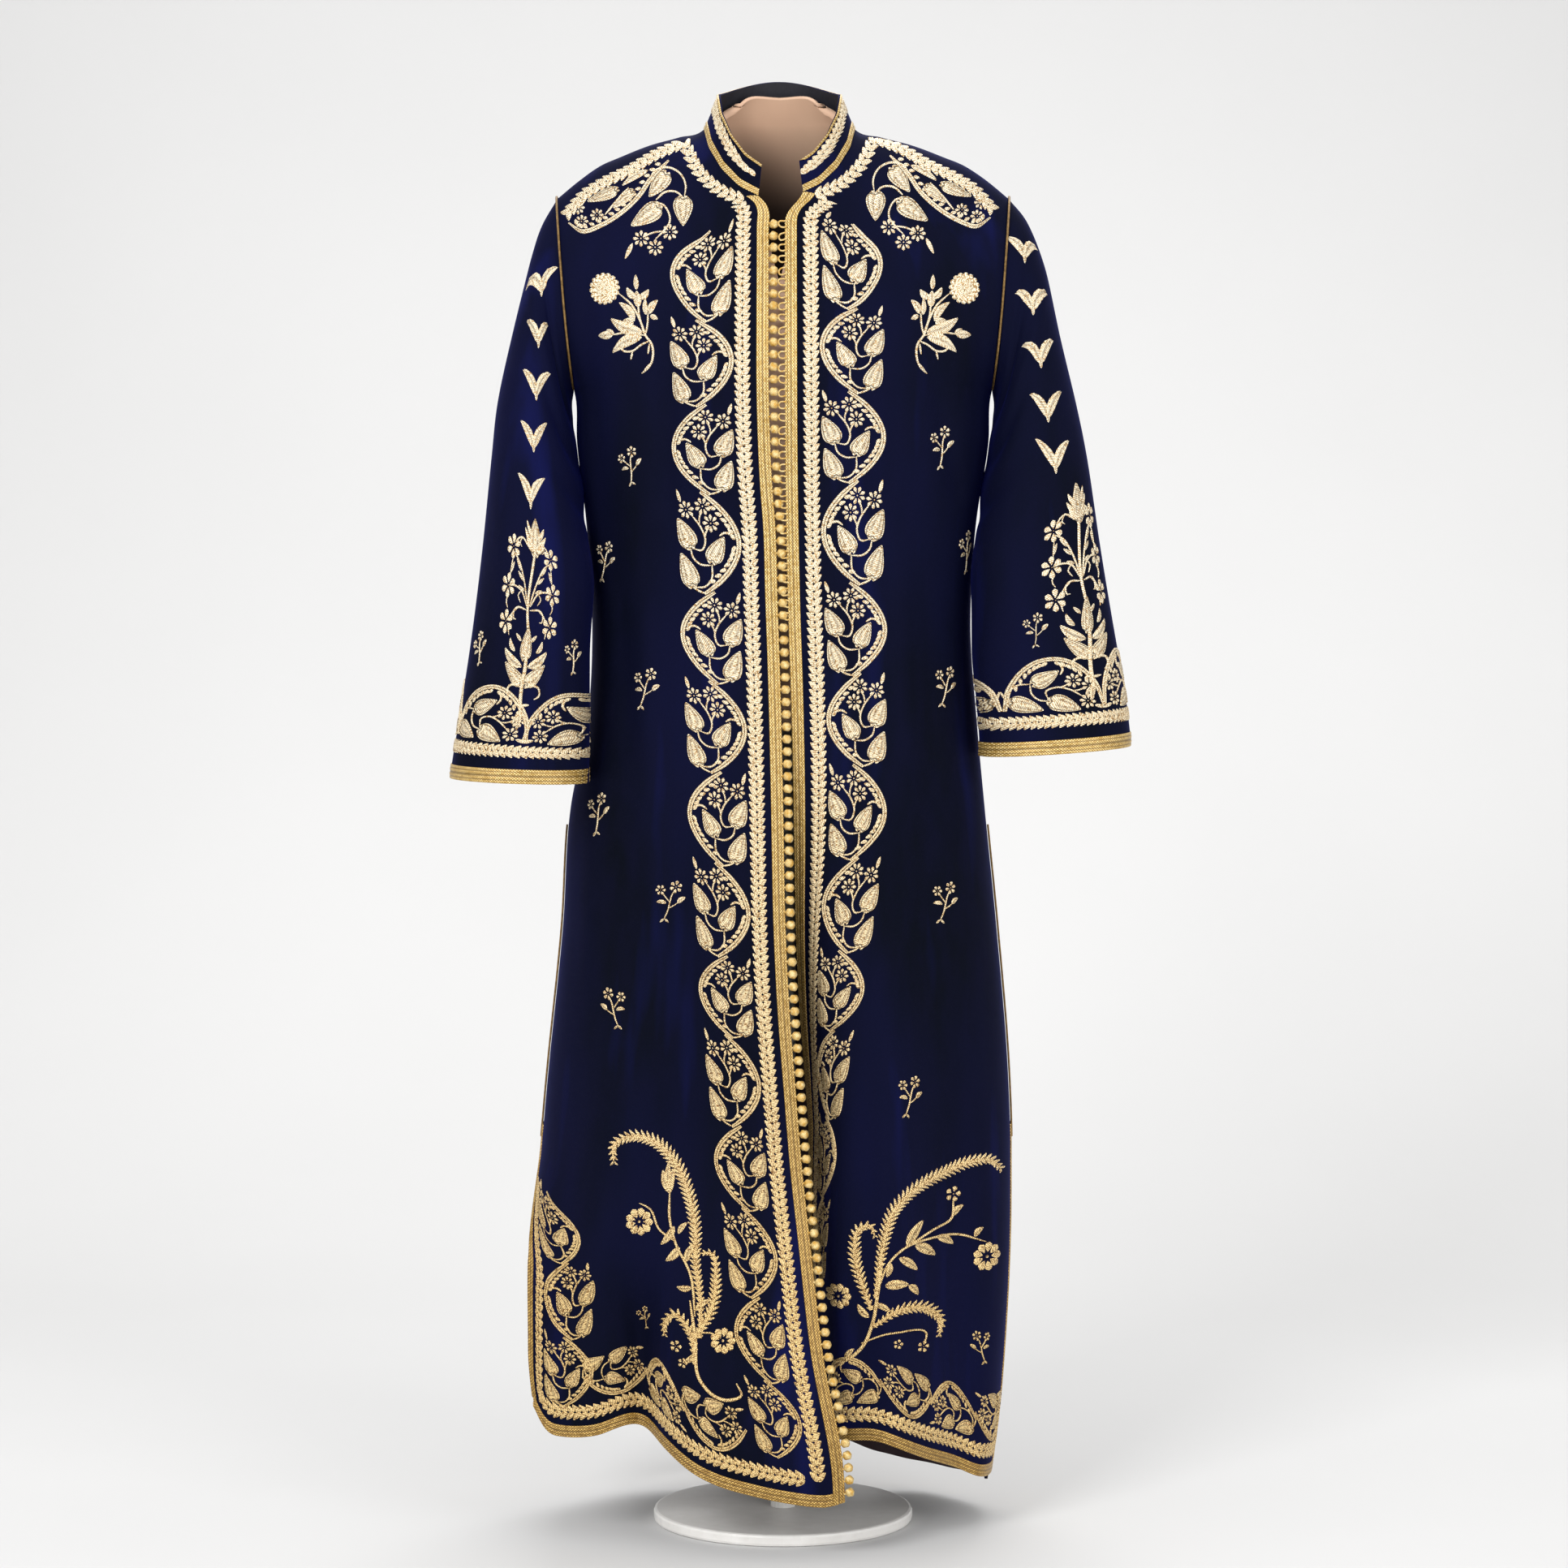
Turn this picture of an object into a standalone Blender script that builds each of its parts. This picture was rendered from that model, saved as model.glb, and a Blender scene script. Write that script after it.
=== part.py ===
"""A long velvet caftan on a hollow, limbless dress form with a pole and a low base.

The caftan is cut from a back, two fronts, two set-in sleeves and a stand collar. Each panel is one surface
whose points come from the same figure: a superellipse across, with half widths and depths that change with
the height, closed over the shoulders along one ridge line. A wall is that surface and a copy of it, moved
in along the normals by the cloth's thickness. Braid lies on the panels, so it is made from their points.

Metres, +Z up. The front faces -Y, the wearer's right is -X. The origin is under the middle of the base.
"""
import bpy
import bmesh
import numpy as np

CLOTH = 0.002            # thickness of the lined velvet
SEAM = 0.0003            # gap between neighbouring pieces
BRAID_THICK = 0.0012     # flat gold braid
BRAID = 0.0125           # its width along edges and hems
CHAIN = 0.034            # end of the leaf chain that runs beside the braid
BAND = 0.098             # end of the scroll beside it

ARMPIT = 1.130           # height of the lowest point of the armholes
SLIT_TOP = 0.381         # height where the side slits end
SLIT_OPEN = 0.014        # how far a slit edge swings from the side seam at the hem
SLIT_TURN = 0.66         # the right front's slit edge turns to the front, to this share of its depth
SLIT_CURVE = 2.2         # exponent of that flatter curve
RIDGE_BACK = 0.010       # the shoulder ridge lies this far behind the side seams
CURVE = 2.3              # exponent of the superellipse across the body
NECK_SHIFT = 0.0035      # the neck lies this far towards the wearer's right
NECK_SIDE = 0.0745       # half the width of the neckline

COLLAR_HEIGHT = 0.0435
COLLAR_LEAN = 0.42       # inward lean for each metre of rise
COLLAR_BRAID = 0.007
COLLAR_EDGING = 0.0028

BUTTON_PITCH = 0.012
BUTTON_RADIUS = 0.0043
BUTTON_CORD = 0.0018
BUTTON_GAP = 0.0098      # room for a button beside the right front's edge
BUTTONS_TOP = 1.298

ARMHOLE_PIPING = 0.0016
SIDE_PIPING = 0.0010
SIDE_PIPING_TOP = 0.700

FORM_WALL = 0.004
FORM_BOTTOM = 0.800
POLE_RADIUS = 0.0125
BASE_RADIUS = 0.130
BASE_THICK = 0.012

# Outside of the cloth: height, half width on the wearer's right and left, depth in front and behind
BODY = np.array([
    (0.02, 0.231, 0.203, 0.150, 0.150), (0.11, 0.241, 0.2155, 0.150, 0.148),
    (0.195, 0.2495, 0.2225, 0.148, 0.145), (0.296, 0.249, 0.227, 0.145, 0.142),
    (0.377, 0.2415, 0.2274, 0.142, 0.139), (0.448, 0.235, 0.225, 0.140, 0.136),
    (0.60, 0.2193, 0.2126, 0.135, 0.130), (0.72, 0.211, 0.2005, 0.130, 0.126),
    (0.80, 0.195, 0.193, 0.124, 0.119), (0.90, 0.1894, 0.1862, 0.118, 0.108),
    (1.00, 0.1945, 0.1900, 0.119, 0.106), (1.08, 0.2010, 0.2000, 0.123, 0.109),
    (1.13, 0.2066, 0.2066, 0.125, 0.112), (1.17, 0.2240, 0.2240, 0.124, 0.113),
    (1.22, 0.2440, 0.2440, 0.121, 0.111), (1.28, 0.2600, 0.2600, 0.115, 0.107),
    (1.36, 0.2600, 0.2600, 0.104, 0.100), (1.47, 0.2600, 0.2600, 0.094, 0.095)])

# Shoulder ridge: distance from the neck's middle, height
RIDGE = np.array([
    (0.0, 1.470), (0.030, 1.452), (0.055, 1.416), (NECK_SIDE, 1.3885), (0.10, 1.3805),
    (0.130, 1.3725), (0.160, 1.361), (0.180, 1.3525), (0.200, 1.339), (0.222, 1.321), (0.265, 1.283)])

# Seam of the sleeve: height, distance from the middle
ARMHOLE = np.array([(1.13, 0.2066), (1.20, 0.2125), (1.25, 0.2165), (1.321, 0.2222), (1.34, 0.2235)])

# Front edge of the right front: height, place
EDGE_RIGHT = np.array([
    (0.04, 0.0605), (0.091, 0.0583), (0.2015, 0.0385), (0.298, 0.0272), (0.376, 0.0186), (0.454, 0.0122),
    (0.533, 0.0062), (0.612, 0.0025), (0.690, 0.0009), (0.769, -0.0006), (0.848, -0.0026), (0.926, -0.0052),
    (1.005, -0.0078), (1.03, -0.0098), (1.10, -0.0130), (1.165, -0.0138), (1.286, -0.0138), (1.31, -0.0165),
    (1.317, -0.0226)])
# Front edge of the left front above the knee: a button's width from the right one, and wider at the chest
EDGE_LEFT = np.array([
    (0.407, 0.0258), (0.454, 0.0221), (0.533, 0.0161), (0.612, 0.0124), (0.690, 0.0108), (0.769, 0.0093),
    (0.848, 0.0073), (0.926, 0.0047), (1.005, 0.0030), (1.03, 0.0026), (1.10, 0.0020), (1.165, 0.0018),
    (1.286, 0.0018)])
# Front edge of the left front below the knee, where it turns back behind the right one
EDGE_LEFT_LOW = np.array([(0.04, 0.034), (0.20, 0.0285), (0.33, 0.0262), (0.407, 0.0258)])
EDGE_JOIN = 0.407

# Neckline from the front end of the collar to the shoulder: distance from the middle, height
NECK_RIGHT = np.array([(0.0226, 1.317), (0.043, 1.3275), (0.060, 1.345), (0.0725, 1.367), (0.078, 1.3885)])
NECK_LEFT = np.array([(0.0183, 1.321), (0.036, 1.3295), (0.053, 1.346), (0.0655, 1.367), (0.071, 1.3885)])
NECK_BACK_LOW = 1.398    # neckline at the middle of the back

# Hems: place from the wearer's right to left, height
HEM_RIGHT = np.array([
    (-0.250, 0.150), (-0.2445, 0.136), (-0.235, 0.117), (-0.216, 0.108), (-0.183, 0.1113), (-0.150, 0.1210),
    (-0.1335, 0.1170), (-0.115, 0.1043), (-0.090, 0.0876), (-0.065, 0.0755), (-0.030, 0.0655),
    (0.008, 0.0576), (0.040, 0.0540), (0.061, 0.0593)])
HEM_LEFT = np.array([
    (0.030, 0.112), (0.052, 0.1093), (0.0965, 0.1086), (0.148, 0.083), (0.2034, 0.0555), (0.215, 0.053)])
HEM_BACK = np.array([
    (-0.250, 0.150), (-0.236, 0.108), (-0.20, 0.084), (-0.158, 0.079), (-0.13, 0.066), (-0.095, 0.044),
    (-0.05, 0.029), (0.0, 0.030), (0.06, 0.051), (0.10, 0.040), (0.13, 0.028), (0.168, 0.017),
    (0.20, 0.015), (0.22, 0.026)])

# Largest folds: panel, top x and z, bottom x and z, half width, rise of the cloth (a trough is negative)
FOLDS = [
    ("right", -0.109, 1.215, -0.113, 1.020, 0.011, -0.005),
    ("right", -0.196, 1.290, -0.176, 0.960, 0.012, -0.005),
    ("right", -0.090, 0.730, -0.096, 0.390, 0.020, -0.008),
    ("right", -0.160, 0.560, -0.196, 0.100, 0.026, 0.012),
    ("right", -0.138, 0.300, -0.134, 0.060, 0.016, -0.020),
    ("left", 0.136, 1.190, 0.170, 1.030, 0.011, -0.005),
    ("left", 0.188, 0.960, 0.184, 0.760, 0.012, -0.006),
    ("left", 0.105, 0.620, 0.112, 0.080, 0.026, 0.018),
    ("left", 0.165, 0.520, 0.172, 0.060, 0.018, -0.010),
    ("back", -0.120, 0.700, -0.150, 0.030, 0.030, 0.014),
    ("back", -0.060, 0.560, -0.065, 0.020, 0.024, -0.012),
    ("back", 0.012, 0.760, 0.010, 0.020, 0.032, 0.013),
    ("back", 0.080, 0.520, 0.088, 0.020, 0.022, -0.012),
    ("back", 0.125, 0.640, 0.148, 0.020, 0.028, 0.012)]
SWAY = 0.045             # the right front's lower edge swings forward
SWAY_TOP = 0.430
TURN_BACK = 0.120        # the left front's lower edge turns in behind it
TURN_TOP = 0.880
TURN_WIDTH = 0.012       # width of that turn near the hem
TURN_SPREAD = 0.022      # and how much wider it is at the hips

# Sleeves: outer x and z, inner x and z, middle y, half depth. The last two rows bound the cuff's braid.
SLEEVE_RIGHT = np.array([
    (0.2222, 1.3210, 0.2072, 1.1300, 0.000, 0.056), (0.2385, 1.2920, 0.2090, 1.1130, -0.004, 0.057),
    (0.2490, 1.2570, 0.2092, 1.0900, -0.010, 0.058), (0.2660, 1.1870, 0.2076, 1.0600, -0.022, 0.061),
    (0.2800, 1.1200, 0.2030, 1.0200, -0.036, 0.063), (0.2860, 1.0640, 0.1965, 0.9850, -0.046, 0.064),
    (0.2950, 0.9740, 0.1895, 0.9350, -0.058, 0.065), (0.3050, 0.8880, 0.1885, 0.8700, -0.070, 0.065),
    (0.3150, 0.8200, 0.1885, 0.8080, -0.079, 0.064),
    (0.3234, 0.7666, 0.1888, 0.7620, -0.085, 0.063), (0.3246, 0.7526, 0.1888, 0.7480, -0.086, 0.063)])
SLEEVE_LEFT = np.array([
    (0.2222, 1.3210, 0.2072, 1.1300, 0.000, 0.056), (0.2420, 1.2950, 0.2090, 1.1130, -0.003, 0.057),
    (0.2590, 1.2490, 0.2092, 1.0900, -0.008, 0.058), (0.2735, 1.1820, 0.2076, 1.0600, -0.016, 0.061),
    (0.2895, 1.1140, 0.2040, 1.0200, -0.024, 0.063), (0.3000, 1.0600, 0.2000, 0.9850, -0.032, 0.064),
    (0.3120, 0.9800, 0.1960, 0.9400, -0.040, 0.065), (0.3250, 0.9000, 0.1950, 0.8800, -0.046, 0.065),
    (0.3360, 0.8370, 0.1955, 0.8260, -0.050, 0.065),
    (0.3412, 0.7960, 0.1960, 0.7860, -0.052, 0.065), (0.3413, 0.7820, 0.1960, 0.7720, -0.053, 0.065)])
SLEEVE_CURVE = 2.15

# Dress form: height, half width, depth in front and behind
FORM = np.array([
    (0.80, 0.150, 0.096, 0.094), (0.86, 0.138, 0.090, 0.084), (0.92, 0.130, 0.088, 0.080),
    (1.00, 0.138, 0.096, 0.084), (1.08, 0.152, 0.106, 0.092), (1.13, 0.162, 0.109, 0.096),
    (1.20, 0.178, 0.107, 0.097), (1.26, 0.186, 0.102, 0.094), (1.32, 0.187, 0.094, 0.090),
    (1.40, 0.187, 0.084, 0.083), (1.47, 0.187, 0.080, 0.080)])
# Rings of the form from its bottom edge to the neck: side x (0 = the full width), z at side, front and back
FORM_RINGS = np.array([
    (0.0, 0.80, 0.80, 0.80), (0.0, 0.86, 0.86, 0.86), (0.0, 0.93, 0.93, 0.93), (0.0, 1.00, 1.00, 1.00),
    (0.0, 1.07, 1.07, 1.07), (0.0, 1.14, 1.12, 1.14), (0.0, 1.21, 1.155, 1.21), (0.0, 1.27, 1.180, 1.265),
    (0.0, 1.315, 1.195, 1.305), (0.180, 0.0, 1.206, 1.335), (0.152, 0.0, 1.213, 1.358),
    (0.122, 0.0, 1.219, 1.378), (0.098, 0.0, 1.224, 1.392), (0.083, 0.0, 1.228, 1.402),
    (0.072, 0.0, 1.231, 1.410), (0.062, 0.0, 1.233, 1.417), (0.054, 0.0, 1.234, 1.4225)])
RIM_CURVE = 1.0          # how sharply the form's neck opening narrows towards the chest
FORM_DROP = 0.0037       # the form's ridge lies this far under the outside of the cloth
FORM_DROP_NECK = 0.0090  # and this much further inside the neckline

COLOURS = {
    "velvet": ((0.010, 0.010, 0.060), 0.75, 0.0), "lining": ((0.030, 0.012, 0.020), 0.6, 0.0),
    "braid": ((0.62, 0.42, 0.14), 0.38, 0.75), "gold": ((0.65, 0.40, 0.08), 0.32, 0.85),
    "form": ((0.62, 0.42, 0.30), 0.55, 0.0), "steel": ((0.75, 0.74, 0.72), 0.35, 0.4)}


def smooth(table, column, at):
    """A curve through one column of a table, as cubic pieces that share their slopes at the rows."""
    xs = table[:, 0]
    ys = table[:, column]
    slopes = np.gradient(ys, xs)
    steps = np.diff(ys) / np.diff(xs)
    flat = np.concatenate(([False], steps[:-1] * steps[1:] <= 0, [False]))
    slopes = np.where(flat, 0.0, slopes)
    at = np.clip(at, xs[0], xs[-1])
    k = np.clip(np.searchsorted(xs, at) - 1, 0, len(xs) - 2)
    width = xs[k + 1] - xs[k]
    t = (at - xs[k]) / width
    rise = ys[k] * (2 * t**3 - 3 * t**2 + 1) + ys[k + 1] * (3 * t**2 - 2 * t**3)
    return rise + width * (slopes[k] * (t**3 - 2 * t**2 + t) + slopes[k + 1] * (t**3 - t**2))


def ease(value):
    """0 below 0, 1 above 1, and a soft step between."""
    t = np.clip(value, 0.0, 1.0)
    return t * t * (3 - 2 * t)


def ridge(x):
    """Height of the shoulder ridge over a place across the body."""
    off = np.abs(x + NECK_SHIFT * np.clip((0.20 - np.abs(x)) / 0.12, 0, 1))
    return smooth(RIDGE, 1, off)


def closing(x, z):
    """Height at which the cloth closes over a place: the ridge, but without the neck's rise lower down."""
    off = np.abs(x + NECK_SHIFT * np.clip((0.20 - np.abs(x)) / 0.12, 0, 1))
    plain = RIDGE[3, 1] + 0.25 * (NECK_SIDE - off)
    inside = ease((NECK_SIDE + 0.012 - off) / 0.024)
    low = ridge(x) + (plain - ridge(x)) * inside
    return low + (ridge(x) - low) * ease((z - 1.25) / 0.12)


def half_width(x, z):
    return np.where(x < 0, smooth(BODY, 1, z), smooth(BODY, 2, z))


def folds(panel, x, z):
    """Rise of the cloth: each fold is a bell across its line, faded in from its top, and kept to the hem."""
    total = np.zeros(np.broadcast(x, z).shape)
    for name, x_top, z_top, x_low, z_low, wide, rise in FOLDS:
        if name != panel:
            continue
        down = (z_top - z) / (z_top - z_low)
        line = x_top + (x_low - x_top) * np.clip(down, 0, 1)
        fade = ease(down * 2.2) * (ease((1.12 - down) * 6) if z_low > 0.2 else 1.0)
        total = total + rise * fade * np.exp(-((x - line) / wide) ** 2)
    return total


def sway(panel, x, z):
    """Large swing of the fronts' lower edges, towards the viewer where it is positive."""
    if panel == "right":
        return SWAY * ease((SWAY_TOP - z) / 0.36) * ease((x + 0.150) / 0.075)
    if panel == "left":
        edge = front_edge("left", z)
        wide = TURN_WIDTH + TURN_SPREAD * np.clip((z - 0.25) / 0.50, 0, 1)
        return -TURN_BACK * ease((TURN_TOP - z) / 0.66) * np.exp(-np.clip((x - edge) / wide, 0, 9) ** 1.4)
    return np.zeros(np.broadcast(x, z).shape)


def surface(panel, x, z):
    """Point of the cloth's outside over (x, z): a superellipse of the width and depth at that height,
    shrunk over the shoulders by an ellipse that closes on the ridge, with the folds added."""
    sign = 1.0 if panel == "back" else -1.0
    width = half_width(x, z)
    depth = smooth(BODY, 4 if panel == "back" else 3, z)
    share = np.clip(np.abs(x) / width, 0, 1)
    across = np.clip(1 - share**CURVE, 0, 1) ** (1 / CURVE)
    if panel == "right":
        turned = SLIT_TURN + (1 - SLIT_TURN) * (1 - share**SLIT_CURVE)
        keep = ease((SLIT_TOP - z) / 0.10) * (x < 0)
        across = across + (turned - across) * keep
    up = np.clip((z - ARMPIT) / (closing(x, z) - ARMPIT), 0, 1)
    middle = RIDGE_BACK * ease((z - ARMPIT) / 0.20)
    round_off = np.sqrt(np.clip(1 - up**2, 0, 1))
    side = ease((share - 0.80) / 0.20)
    opening = SLIT_OPEN * np.clip((SLIT_TOP - z) / 0.33, 0, 1) * side
    calm = np.clip((1 - share) / 0.12, 0, 1)
    out = depth * across * round_off + opening + (folds(panel, x, z) + sway(panel, x, z)) * calm
    return np.stack(np.broadcast_arrays(x, middle + sign * out, z), axis=-1)


def front_edge(panel, z):
    """Place of a front's edge across the body."""
    if panel == "right":
        return smooth(EDGE_RIGHT, 1, z)
    return np.where(z < EDGE_JOIN, smooth(EDGE_LEFT_LOW, 1, z), smooth(EDGE_LEFT, 1, z))


def armhole(side, row):
    """Point (x, z) of the armhole: row 0 is the armpit, row 1 the end of the shoulder seam."""
    angle = row * np.pi / 2
    z = ARMPIT + 0.19 * np.sin(angle)
    for _ in range(4):
        x = smooth(ARMHOLE, 1, z)
        z = ARMPIT + (ridge(side * x) - ARMPIT) * np.sin(angle)
    return side * x, z


def along(points, places):
    """Points at the given distances along a polyline."""
    steps = np.linalg.norm(np.diff(points, axis=0), axis=1)
    run = np.concatenate(([0.0], np.cumsum(steps)))
    return np.stack([np.interp(places, run, points[:, k]) for k in range(3)], axis=1)


def length(points):
    return np.linalg.norm(np.diff(points, axis=0), axis=1).sum()


def low_rows(hem_to_top, count, first):
    """Shares of the way from the hem to the armpit: the hem, the top of its braid, then even rows."""
    return np.concatenate(([0.0], np.linspace(first / hem_to_top, 1.0, count - 1)))


FRONT_ROWS = 19
TOP_ROWS = np.array([0.0, 0.12, 0.25, 0.38, 0.50, 0.60, 0.70, 0.80, 0.89, 0.96, 1.0])
COLLAR_ROW = 0.60        # row of the shoulder part where the front edge ends and the neckline starts


def neck_point(panel, row):
    """Point (x, z) of a front's inner boundary above the armpit: its edge, then its neckline."""
    sign = -1 if panel == "right" else 1
    table = NECK_RIGHT if panel == "right" else NECK_LEFT
    corner = table[0, 1]
    if row <= COLLAR_ROW:
        share = row / COLLAR_ROW
        z = ARMPIT + (corner - ARMPIT) * share
        x = front_edge("right", z) if panel == "right" else front_edge("left", z)
        if panel == "left":
            x = x + (table[0, 0] - x) * ease((z - 1.286) / (corner - 1.286)) ** 2
        return float(x), float(z)
    share = (row - COLLAR_ROW) / (1 - COLLAR_ROW) * (len(table) - 1)
    k = np.arange(len(table))
    return float(sign * np.interp(share, k, table[:, 0])), float(np.interp(share, k, table[:, 1]))


def front_line(panel, row, top, count=160):
    """A dense line across a front from its inner edge to its side seam or armhole."""
    side = -1 if panel == "right" else 1
    q = np.sin(np.linspace(0, 1, count) * np.pi / 2)
    if top:
        x_in, z_in = neck_point(panel, row)
        x_out, z_out = armhole(side, row)
        up_in = np.clip((z_in - ARMPIT) / (ridge(x_in) - ARMPIT), 0, 1)
        angle = np.arcsin(up_in) + (row * np.pi / 2 - np.arcsin(up_in)) * q
        x = x_in + (x_out - x_in) * q
        z = ARMPIT + (ridge(x) - ARMPIT) * np.sin(angle)
        z = z + (z_in - z[0]) * (1 - q)
        return surface(panel, x, z)
    hem = HEM_RIGHT if panel == "right" else HEM_LEFT
    z = np.full(count, ARMPIT * row + 0.08 * (1 - row))
    for _ in range(6):
        x_in = front_edge(panel, z)
        x_out = side * np.where(side < 0, smooth(BODY, 1, z), smooth(BODY, 2, z))
        x = x_in + (x_out - x_in) * q
        low = smooth(hem, 1, x)
        z = low + (ARMPIT - low) * row
    return surface(panel, x, z)


def neck_angle(x):
    """Share of the way to the ridge, as an angle, where the back ends: the neckline inside the neck."""
    off = np.abs(x + NECK_SHIFT * np.clip((0.20 - np.abs(x)) / 0.12, 0, 1))
    side_z = smooth(RIDGE, 1, NECK_SIDE)
    line = NECK_BACK_LOW + (side_z - NECK_BACK_LOW) * np.clip(off / NECK_SIDE, 0, 1) ** 2
    up = (line - ARMPIT) / (ridge(x) - ARMPIT)
    return np.where(off >= NECK_SIDE, np.pi / 2, np.arcsin(np.clip(up, 0, 1)))


def back_line(row, top, count=321):
    """A dense line across the back from the wearer's right to the left."""
    q = np.sin(np.linspace(-1, 1, count) * np.pi / 2)
    if top:
        x_right, _ = armhole(-1, row)
        x_left, _ = armhole(1, row)
        x = np.where(q < 0, -q * x_right, q * x_left)
        z = ARMPIT + (ridge(x) - ARMPIT) * np.sin(neck_angle(x) * row)
        return surface("back", x, z)
    z = np.full(count, ARMPIT * row + 0.03 * (1 - row))
    for _ in range(6):
        x = q * np.where(q < 0, smooth(BODY, 1, z), smooth(BODY, 2, z))
        low = smooth(HEM_BACK, 1, x)
        z = low + (ARMPIT - low) * row
    return surface("back", x, z)


def spread(line, fixed_start, shares, fixed_end):
    """Points along a line: set widths from its ends, and even shares of what lies between."""
    total = length(line)
    start = fixed_start[-1]
    end = total - fixed_end[0]
    places = np.concatenate((fixed_start, start + (end - start) * shares, total - np.array(fixed_end)))
    return along(line, places)


def front_grid(panel, rows_low, rows_top, columns):
    """Grid of a front: rows from the hem to the shoulder, columns from its edge to the side."""
    shares = np.linspace(0, 1, columns)[1:-1]
    lines = [front_line(panel, row, False) for row in rows_low[:-1]]
    lines += [front_line(panel, row, True) for row in rows_top]
    return np.array([spread(line, [0, BRAID, CHAIN, BAND - 0.035, BAND], shares, [BRAID, 0]) for line in lines])


def back_shares():
    """Column shares of the back, with one column on each end of the neckline."""
    top = back_line(1.0, True)
    run = np.concatenate(([0.0], np.cumsum(np.linalg.norm(np.diff(top, axis=0), axis=1))))
    total = run[-1]
    right = np.interp(-NECK_SIDE - NECK_SHIFT, top[:, 0], run)
    left = np.interp(NECK_SIDE - NECK_SHIFT, top[:, 0], run)
    inner = total - 2 * BRAID
    marks = (np.array([right, left]) - BRAID) / inner
    return np.concatenate((np.linspace(0, marks[0], 6)[1:], np.linspace(*marks, 7)[1:-1],
                           np.linspace(marks[1], 1, 6)[:-1]))


def back_grid(rows_low, rows_top):
    shares = back_shares()
    lines = [back_line(row, False) for row in rows_low[:-1]]
    lines += [back_line(row, True) for row in rows_top]
    return np.array([spread(line, [0, BRAID], shares, [BRAID, 0]) for line in lines])


def normals(grid, outward, wrap=False):
    """Unit normals of a grid, turned to the side that the outward vectors point to."""
    rows = np.gradient(grid, axis=0)
    if wrap:
        columns = (np.roll(grid, -1, axis=1) - np.roll(grid, 1, axis=1)) / 2
    else:
        columns = np.gradient(grid, axis=1)
    turned = np.cross(columns, rows)
    turned /= np.linalg.norm(turned, axis=2, keepdims=True)
    sign = np.sign((turned * outward).sum(axis=2).mean())
    return turned * sign


def flatten(vectors, axis):
    """Vectors with one component taken out, so that both sides of a seam share them."""
    flat = vectors.copy()
    flat[..., axis] = 0
    return flat / np.linalg.norm(flat, axis=-1, keepdims=True)


def body_normals(grid, low_count, both):
    """Normals of a body panel. Its side seams, up to the armpit, and its shoulder seam keep theirs in
    the seam's plane."""
    result = normals(grid, grid * np.array([0.4, 1.0, 0.0]))
    result[:low_count + 1, -1] = flatten(result[:low_count + 1, -1], 1)
    if both:
        result[:low_count + 1, 0] = flatten(result[:low_count + 1, 0], 1)
    result[-1] = flatten(result[-1], 1)
    return result


def link(obj, material, collection):
    obj.data.materials.append(material)
    collection.objects.link(obj)
    return obj


def solid_faces(rows, columns, wrap, flip):
    """Faces of a slab: outer skin, inner skin, and a rim round the open edges. Both skins are split into
    the same triangles, so that braid which is made from a panel's points keeps an even gap to it."""
    count = rows * columns
    faces = []
    spans = columns if wrap else columns - 1
    for i in range(rows - 1):
        for j in range(spans):
            k = (j + 1) % columns
            a, b, c, d = (i * columns + j, i * columns + k, (i + 1) * columns + k, (i + 1) * columns + j)
            for one in ((a, b, c), (a, c, d)):
                faces.append(one)
                faces.append(tuple(count + v for v in reversed(one)))
    for j in range(spans):
        k = (j + 1) % columns
        faces.append((k, j, count + j, count + k))
        last = (rows - 1) * columns
        faces.append((last + j, last + k, count + last + k, count + last + j))
    if not wrap:
        for i in range(rows - 1):
            a, b = i * columns, (i + 1) * columns
            faces.append((a, b, count + b, count + a))
            a, b = a + columns - 1, b + columns - 1
            faces.append((b, a, count + a, count + b))
    return [tuple(reversed(face)) for face in faces] if flip else faces


def slab(name, grid, vectors, low, high, material, collection, wrap=False):
    """A closed wall between two copies of a grid, moved along its normals by low and by high."""
    rows, columns = grid.shape[:2]
    across = grid[0, 1] - grid[0, 0]
    up = grid[1, 0] - grid[0, 0]
    flip = float(np.dot(np.cross(across, up), vectors[0, 0])) < 0
    points = np.concatenate(((grid + vectors * high).reshape(-1, 3), (grid + vectors * low).reshape(-1, 3)))
    mesh = bpy.data.meshes.new(name)
    mesh.from_pydata(points.tolist(), [], solid_faces(rows, columns, wrap, flip))
    mesh.update()
    mesh.shade_smooth()
    mesh.set_sharp_from_angle(angle=np.radians(50))
    return link(bpy.data.objects.new(name, mesh), material, collection)


def draw_in(grid, ends):
    """A grid whose named ends are drawn in, so that two strips which meet keep a gap."""
    grid = grid.copy()
    pairs = {"first row": ((0,), (1,)), "last row": ((-1,), (-2,)),
             "first column": ((slice(None), 0), (slice(None), 1)),
             "last column": ((slice(None), -1), (slice(None), -2))}
    for end in ends:
        edge, beside = pairs[end]
        way = grid[beside] - grid[edge]
        grid[edge] += way / np.linalg.norm(way, axis=-1, keepdims=True) * 1.5 * SEAM
    return grid


def strip(name, grid, vectors, material, collection, wrap=False, ends=()):
    """Flat braid on a panel: a slab on the panel's own points, a seam's gap above them."""
    grid = draw_in(grid, ends)
    return slab(name, grid, vectors, SEAM, SEAM + BRAID_THICK, material, collection, wrap)


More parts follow.
